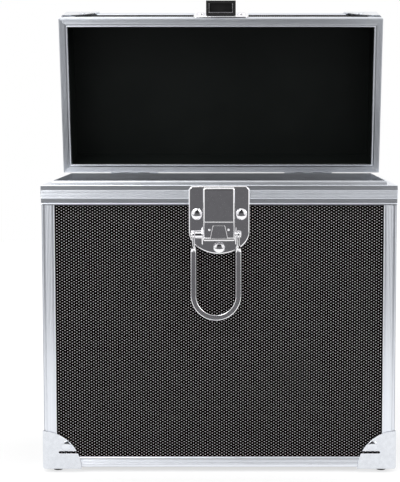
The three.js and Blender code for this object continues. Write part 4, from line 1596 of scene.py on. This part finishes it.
@dataclass
class Bail:
    """The long U-shaped bail: a flat strip whose ends are twisted edge-on and carry eyes."""

    length: float = 0.083
    strip: float = 0.0054
    thickness: float = 0.0024
    edge: float = 0.0009
    ear_start: float = 0.0015
    ear_low: float = 0.0095
    twist_run: float = 0.0077
    twist_steps: int = 8
    eye: float = 0.0034
    eye_turn: float = 345
    eye_half: float = 0.0011
    eye_round: float = 0.0005

    def build(self, bench: Bench) -> None:
        """Bends the strip, and adds its eyes."""
        right, left = (LATCH.bail_middle + side * LATCH.ear_place for side in (1, -1))
        half_wide = self.strip / 2
        outline = self._rounded(right, LATCH.axle_y, self.thickness / 2, half_wide)
        bail = draw("bail_strip", in_xy(outline, LATCH.axle_z - self.ear_start))
        bpy.ops.mesh.select_mode(type="FACE")
        ear, leg = self.ear_start - self.ear_low, self.ear_low + self.twist_run - self.length
        leg += LATCH.ear_place + half_wide
        pull(ear * ALONG_Z)
        self._twist(right, -1)
        pull(leg * ALONG_Z)
        low = LATCH.axle_z - self.ear_low - self.twist_run + leg
        spin(math.pi, Vector((LATCH.bail_middle, LATCH.axle_y, low)), TO_FRONT, 40)
        pull(-leg * ALONG_Z)
        self._twist(left, 1)
        pull(-ear * ALONG_Z)
        smooth(close_up(bail), 50)
        eyes = [self._eye(x) for x in (left, right)]
        bench.fix(join(bail, *eyes), Body.BAIL, CHROME, "bail")

    def _rounded(self, x: float, y: float, half_x: float, half_y: float) -> list[Point]:
        """The strip's section, with rounded edges."""
        line = []
        for turn, side_x, side_y in ((0, 1, 1), (90, -1, 1), (180, -1, -1), (270, 1, -1)):
            middle = (x + side_x * (half_x - self.edge), y + side_y * (half_y - self.edge))
            line += arc(middle, self.edge, turn, turn + 90, 4)
        return line

    def _twist(self, x: float, way: int) -> None:
        """Runs the strip on while it turns by a quarter."""
        for _ in range(self.twist_steps):
            pull(way * self.twist_run / self.twist_steps * ALONG_Z)
            turn = math.pi / 2 / self.twist_steps
            bpy.ops.transform.rotate(value=turn, orient_axis="Z", center_override=(x, LATCH.axle_y, 0))

    def _eye(self, x: float) -> Thing:
        """Makes the round end that the axle passes through."""
        line = arc((LATCH.axle_y, LATCH.axle_z), self.eye, 0, self.eye_turn, 23)
        eye = slab("bail_eye", in_yz(line, x - self.eye_half), 2 * self.eye_half * ALONG_X)
        return polish(eye, self.eye_round, 3)


@dataclass
class Catch:
    """The catch on the lid: a plate with a hollow round hood that the bail closes over."""

    low: float = 0.279
    height: float = 0.042
    corner_round: float = 0.012
    rail_room: float = 0.0143
    hood_low: float = 0.284
    hood_half: float = 0.015
    hood_straight: float = 0.0055
    hood_proud: float = 0.016
    hood_wall: float = 0.0016
    hood_round: float = 0.0004
    seat: float = 0.0006
    lip_start: float = 0.009
    lip: float = 0.0008
    past: float = 0.002
    fit: float = 0.0001
    dark_insert_rise: float = 0.006
    dark_insert_edge: float = 0.0007
    dark_insert_round: float = 0.0002
    hollow_rise: float = 0.005
    mouth_half: float = 0.0126
    mouth_near: float = 0.0034
    mouth_far: float = 0.0026
    bar_drop: float = 0.0009
    bar_rise: float = 0.001
    left_bar: float = 0.0003
    right_bar: float = 0.0005
    rear_bar: float = 0.0007
    rear_past: float = 0.0002
    rivet_spread: float = 0.0215
    rivet_rise: float = 0.024

    def build(self, bench: Bench) -> None:
        """Makes the plate with its hood and two rivets."""
        pieces = [self._plate(), self._hood(), *self._mouth_lip()]
        for side in (-1, 1):
            spot = Vector((side * self.rivet_spread, LATCH.face, self.low + self.rivet_rise))
            pieces.append(LATCH.rivet.make("catch_rivet", spot, TO_FRONT))
        bench.fix(join(*pieces), Body.LID, CHROME, "lid_catch")
        # A black insert lines the hood and keeps its inside and the edge round its mouth dark.
        bench.fix(self._dark_insert(), Body.LID, RUBBER)

    def _plate(self) -> Thing:
        """Makes the plate, with room behind it for the lid's rail."""
        half, cut, top, bend = LATCH.half_width, LATCH.corner_cut, self.low + self.height, self.corner_round
        line = [(cut - half, self.low), (half - cut, self.low), (half, self.low + cut)]
        line += [*shoulders(half, top, bend, 12), (-half, self.low + cut)]
        return LATCH.plate("catch_plate", line, (self.low - self.past, CASE.lid_low + self.rail_room))

    def _hood_part(self, name: str, grow: float, low: float, near: float, far: float) -> Thing:
        """Makes a solid with the hood's outline, straight at its sides and round above.

        Args:
            name: The new piece's name.
            grow: How much wider it is than the hood on each side.
            low: Its lower end.
            near: Where it starts, as a distance out from the plate's face.
            far: Where it ends.

        Returns:
            The solid.
        """
        half = self.hood_half + grow
        bow = arc((0, self.hood_low + self.hood_straight), half, 180, 0, 24)
        line = in_xz([(-half, low), *bow, (half, low)], LATCH.face - near)
        return slab(name, line, Vector((0, near - far, 0)))

    def _hood(self) -> Thing:
        """Makes the hood, hollow from below, with a lip round its outer part."""
        proud, wall, low = self.hood_proud, self.hood_wall, self.hood_low
        hood = self._hood_part("catch_hood", 0, low, -self.seat, proud)
        combine(hood, self._hood_part("catch_lip", self.lip, low, self.lip_start, proud), Cut.ONTO)
        hollow = self._hood_part("catch_hollow", -wall, low - self.past, wall, proud - wall)
        return polish(close_up(combine(hood, hollow, Cut.AWAY)), self.hood_round, 3)

    def _box(self, name: str, half: float, far: float, near: float, low: float, high: float) -> Thing:
        """Makes a box in the hood, between two distances out from the plate's face and two heights."""
        first = Vector((-half, LATCH.face - far, self.hood_low + low))
        return block(name, first, Vector((half, LATCH.face - near, self.hood_low + high)))

    def _dark_insert(self) -> Thing:
        """Makes a black insert that darkens the inside of the hood and the edge over its mouth, hollow from
        below.
        """
        fit, proud, wall, drop = self.fit, self.hood_proud, self.hood_wall, self.dark_insert_edge
        room, rise = self.hood_half - wall - fit, self.dark_insert_rise
        outer = self._box("catch_dark_insert", room, proud - wall - fit, wall + fit, -2 * fit, rise)
        edge = self._box("dark_insert_edge", self.hood_half + self.lip, proud + fit, 2 * fit, -drop, -fit)
        combine(outer, edge, Cut.ONTO)
        half, far, near = self.mouth_half, proud - self.mouth_far, self.mouth_near
        inner = self._box("dark_insert_hollow", half, far, near, -self.past, self.hollow_rise)
        return polish(close_up(combine(outer, inner, Cut.AWAY)), self.dark_insert_round)

    def _mouth_lip(self) -> list[Thing]:
        """Makes the thin bright lip along three sides of the hood's mouth."""
        half, far, near = self.mouth_half, self.hood_proud - self.mouth_far, self.mouth_near
        front, back = LATCH.face - far, LATCH.face - near
        low, high = self.hood_low - self.bar_drop, self.hood_low + self.bar_rise
        bars = [
            ((-half, back - self.rear_bar), (half, back + self.rear_past)),
            ((-half - self.fit, front), (self.left_bar - half, back)),
            ((half - self.right_bar, front), (half + self.fit, back)),
        ]
        ends = [(Vector((*first, low)), Vector((*last, high))) for first, last in bars]
        return [polish(block("mouth_lip", *pair), self.fit) for pair in ends]


@dataclass
class Hinges:
    """Two hinges at the back, each of two leaves that curl round one pin in turns."""

    spread: float = 0.094875
    length: float = 0.052
    knuckles: int = 5
    radius: float = 0.0028
    gap: float = 0.0004
    pin: float = 0.0013
    pin_past: float = 0.0003
    head: float = 0.0012
    head_round: float = 0.0004
    head_face: float = 0.8
    leaf: float = 0.012
    leaf_seat: float = 0.0029
    leaf_corner: float = 0.002
    leaf_round: float = 0.0003
    curl_start: float = 0.0006
    curl_end: float = -82
    curl_round: float = 0.0002
    thickness: float = 0.0012
    rivet_spacing: float = 0.018
    rivet: DomeRivet = DomeRivet(0.0024, 0.0009, 0.0002, 24)

    def build(self, bench: Bench) -> None:
        """Makes both hinges."""
        for word, middle in (("left", -self.spread), ("right", self.spread)):
            node = f"{word}_hinge"
            leaf = self._leaf(f"{word}_body_leaf", middle, -1, 0)
            bench.fix(leaf, Body.CASE, STEEL, f"{node}_body_leaf")
            leaf = self._leaf(f"{word}_lid_leaf", middle, 1, 1)
            bench.fix(leaf, Body.LID, STEEL, f"{node}_lid_leaf")
            bench.fix(self._pin(f"{word}_pin_rod", middle), Body.CASE, STEEL, f"{node}_pin")

    def _leaf(self, name: str, middle: float, side: int, parity: int) -> Thing:
        """Makes one leaf with its knuckles and rivets.

        Args:
            name: The new piece's name.
            middle: Where the hinge's middle lies.
            side: 1 for the leaf on the lid, -1 for the one on the body.
            parity: The number of its first knuckle.

        Returns:
            The leaf.
        """
        back, near, half = HINGE_SPOT.y - self.leaf_seat, self.radius + self.gap, self.length / 2
        start, end = (HINGE_SPOT.z + side * away for away in (near, near + self.leaf))
        cut, slope = half - self.leaf_corner, end - side * self.leaf_corner
        outline = [(-half, start), (half, start), (half, slope), (cut, end), (-cut, end), (-half, slope)]
        plate = slab(name, in_xz([(middle + x, z) for x, z in outline], back), Vector((0, self.thickness, 0)))
        pieces = [polish(plate, self.leaf_round)]
        bow = arc((0, 0), self.radius, 180, self.curl_end, 22)
        bow += arc((0, 0), self.radius - self.thickness, self.curl_end, 180, 22)
        foot = -near - self.curl_start
        curl = [(-self.leaf_seat, foot), *bow, (self.thickness - self.leaf_seat, foot)]
        curl = [(HINGE_SPOT.y + out, HINGE_SPOT.z - side * up) for out, up in curl]
        pitch = (self.length + self.gap) / self.knuckles
        for index in range(parity, self.knuckles, 2):
            line = in_yz(curl, middle - half + index * pitch)
            pieces.append(polish(slab("knuckle", line, (pitch - self.gap) * ALONG_X), self.curl_round))
        for step in (-1, 0, 1):
            spot = Vector((middle + step * self.rivet_spacing, back + self.thickness, (start + end) / 2))
            pieces.append(self.rivet.make("hinge_rivet", spot, ALONG_Y))
        return join(*pieces)

    def _pin(self, name: str, middle: float) -> Thing:
        """Turns the pin with its two heads."""
        half, radius = self.length / 2 + self.pin_past, self.radius
        end, bend = half + self.head, self.head_round
        face = radius * self.head_face
        inner = [(half, self.pin), (half, radius), (end - bend, radius), (end, face), (end, 0.0)]
        section = [(-along, out) for along, out in reversed(inner)] + inner
        return smooth(lathe(name, section, HINGE_SPOT + middle * ALONG_X, ALONG_X, 24))


@dataclass
class Handle:
    """The moulded carrying handle on the lid, folded flat, and its two brackets."""

    axis_z: float = 0.3447
    face_z: float = 0.3385
    half_width: float = 0.068
    reach: float = 0.04
    leg: float = 0.012
    bar: float = 0.015
    half_thick: float = 0.0055
    outer_round: float = 0.014
    inner_round: float = 0.006
    grip_round: float = 0.0032
    heel: float = 0.0042
    pin: float = 0.0025
    pin_past: float = 0.0006
    pin_round: float = 0.0003
    plate_wide: float = 0.022
    plate_long: float = 0.024
    plate_thick: float = 0.0016
    plate_cut: float = 0.003
    plate_round: float = 0.0004
    lug: float = 0.004
    lug_radius: float = 0.005
    rivet_in: float = 0.0051
    rivet: DomeRivet = DomeRivet(0.0034, 0.0013, 0.0002, 28)

    def build(self, bench: Bench) -> None:
        """Makes the grip and the brackets."""
        bench.fix(self._grip(), Body.HANDLE, PLASTIC, "handle_grip")
        for word, side in (("left", -1), ("right", 1)):
            bench.fix(self._bracket(word, side), Body.LID, CHROME, f"handle_{word}_bracket")

    def _grip(self) -> Thing:
        """Makes the moulded grip."""
        half, inner, reach = self.half_width, self.half_width - self.leg, self.reach
        bend, bow, inside = self.outer_round, self.inner_round, self.reach - self.bar
        line = [(half, -self.heel), *shoulders(half, reach, bend, 10), (-half, -self.heel)]
        line += [(-inner, -self.heel), *reversed(shoulders(inner, inside, bow, 6)), (inner, -self.heel)]
        outline = in_xy(line, self.axis_z - self.half_thick)
        grip = slab("handle_moulding", outline, 2 * self.half_thick * ALONG_Z)
        return polish(grip, self.grip_round, 5, 50, 60)

    def _bracket(self, word: str, side: int) -> Thing:
        """Makes one bracket: a riveted plate, a lug and the pin that the grip turns on."""
        start, low = self.half_width + 2 * CASE.gap, self.face_z + CASE.gap
        near, far, half = side * start, side * (start + self.plate_wide), self.plate_long / 2
        cut, wide = self.plate_cut, far - side * self.plate_cut
        outline = [(near, -half), (wide, -half), (far, cut - half)]
        outline += [(x, -y) for x, y in reversed(outline)]
        plate = slab(f"{word}_bracket", in_xy(outline, low), self.plate_thick * ALONG_Z)
        bow = arc((0, self.axis_z), self.lug_radius, 0, 180, 16)
        line = in_yz([(self.lug_radius, low), *bow, (-self.lug_radius, low)], near)
        lug = slab("bracket_lug", line, side * self.lug * ALONG_X)
        ends = (side * (start - self.leg), side * (start + self.lug + self.pin_past))
        section = [(ends[0], 0.0), (ends[0], self.pin), (ends[1], self.pin), (ends[1], 0.0)]
        rod = lathe("bracket_pin", section, self.axis_z * ALONG_Z, ALONG_X, 24)
        pieces = [polish(plate, self.plate_round), polish(lug, self.plate_round), polish(rod, self.pin_round)]
        for end in (-1, 1):
            x = side * (start + (self.lug + self.plate_wide) / 2)
            seat = Vector((x, end * (half - self.rivet_in), low + self.plate_thick))
            pieces.append(self.rivet.make("bracket_rivet", seat, ALONG_Z))
        return join(*pieces)


def build_case() -> None:
    """Builds the studio and the case in order, and logs each sub-assembly as it is done."""
    bpy.context.scene.view_settings.view_transform = "Standard"
    bench = Bench()
    case = (Panels(), AngleBars(), Rims(), Protectors(), Feet())
    latch = (LatchPlate(), Lever(), Axle(), Bail(), Catch())
    for sub_assembly in (Studio(), *case, *latch, Hinges(), Handle()):
        sub_assembly.build(bench)
        LOG.info("%s done", type(sub_assembly).__name__)


def main() -> None:
    """Builds everything, with a line in the log for each piece."""
    logging.basicConfig(level=logging.INFO, format="%(name)s: %(message)s")
    build_case()


if __name__ == "__main__":
    main()
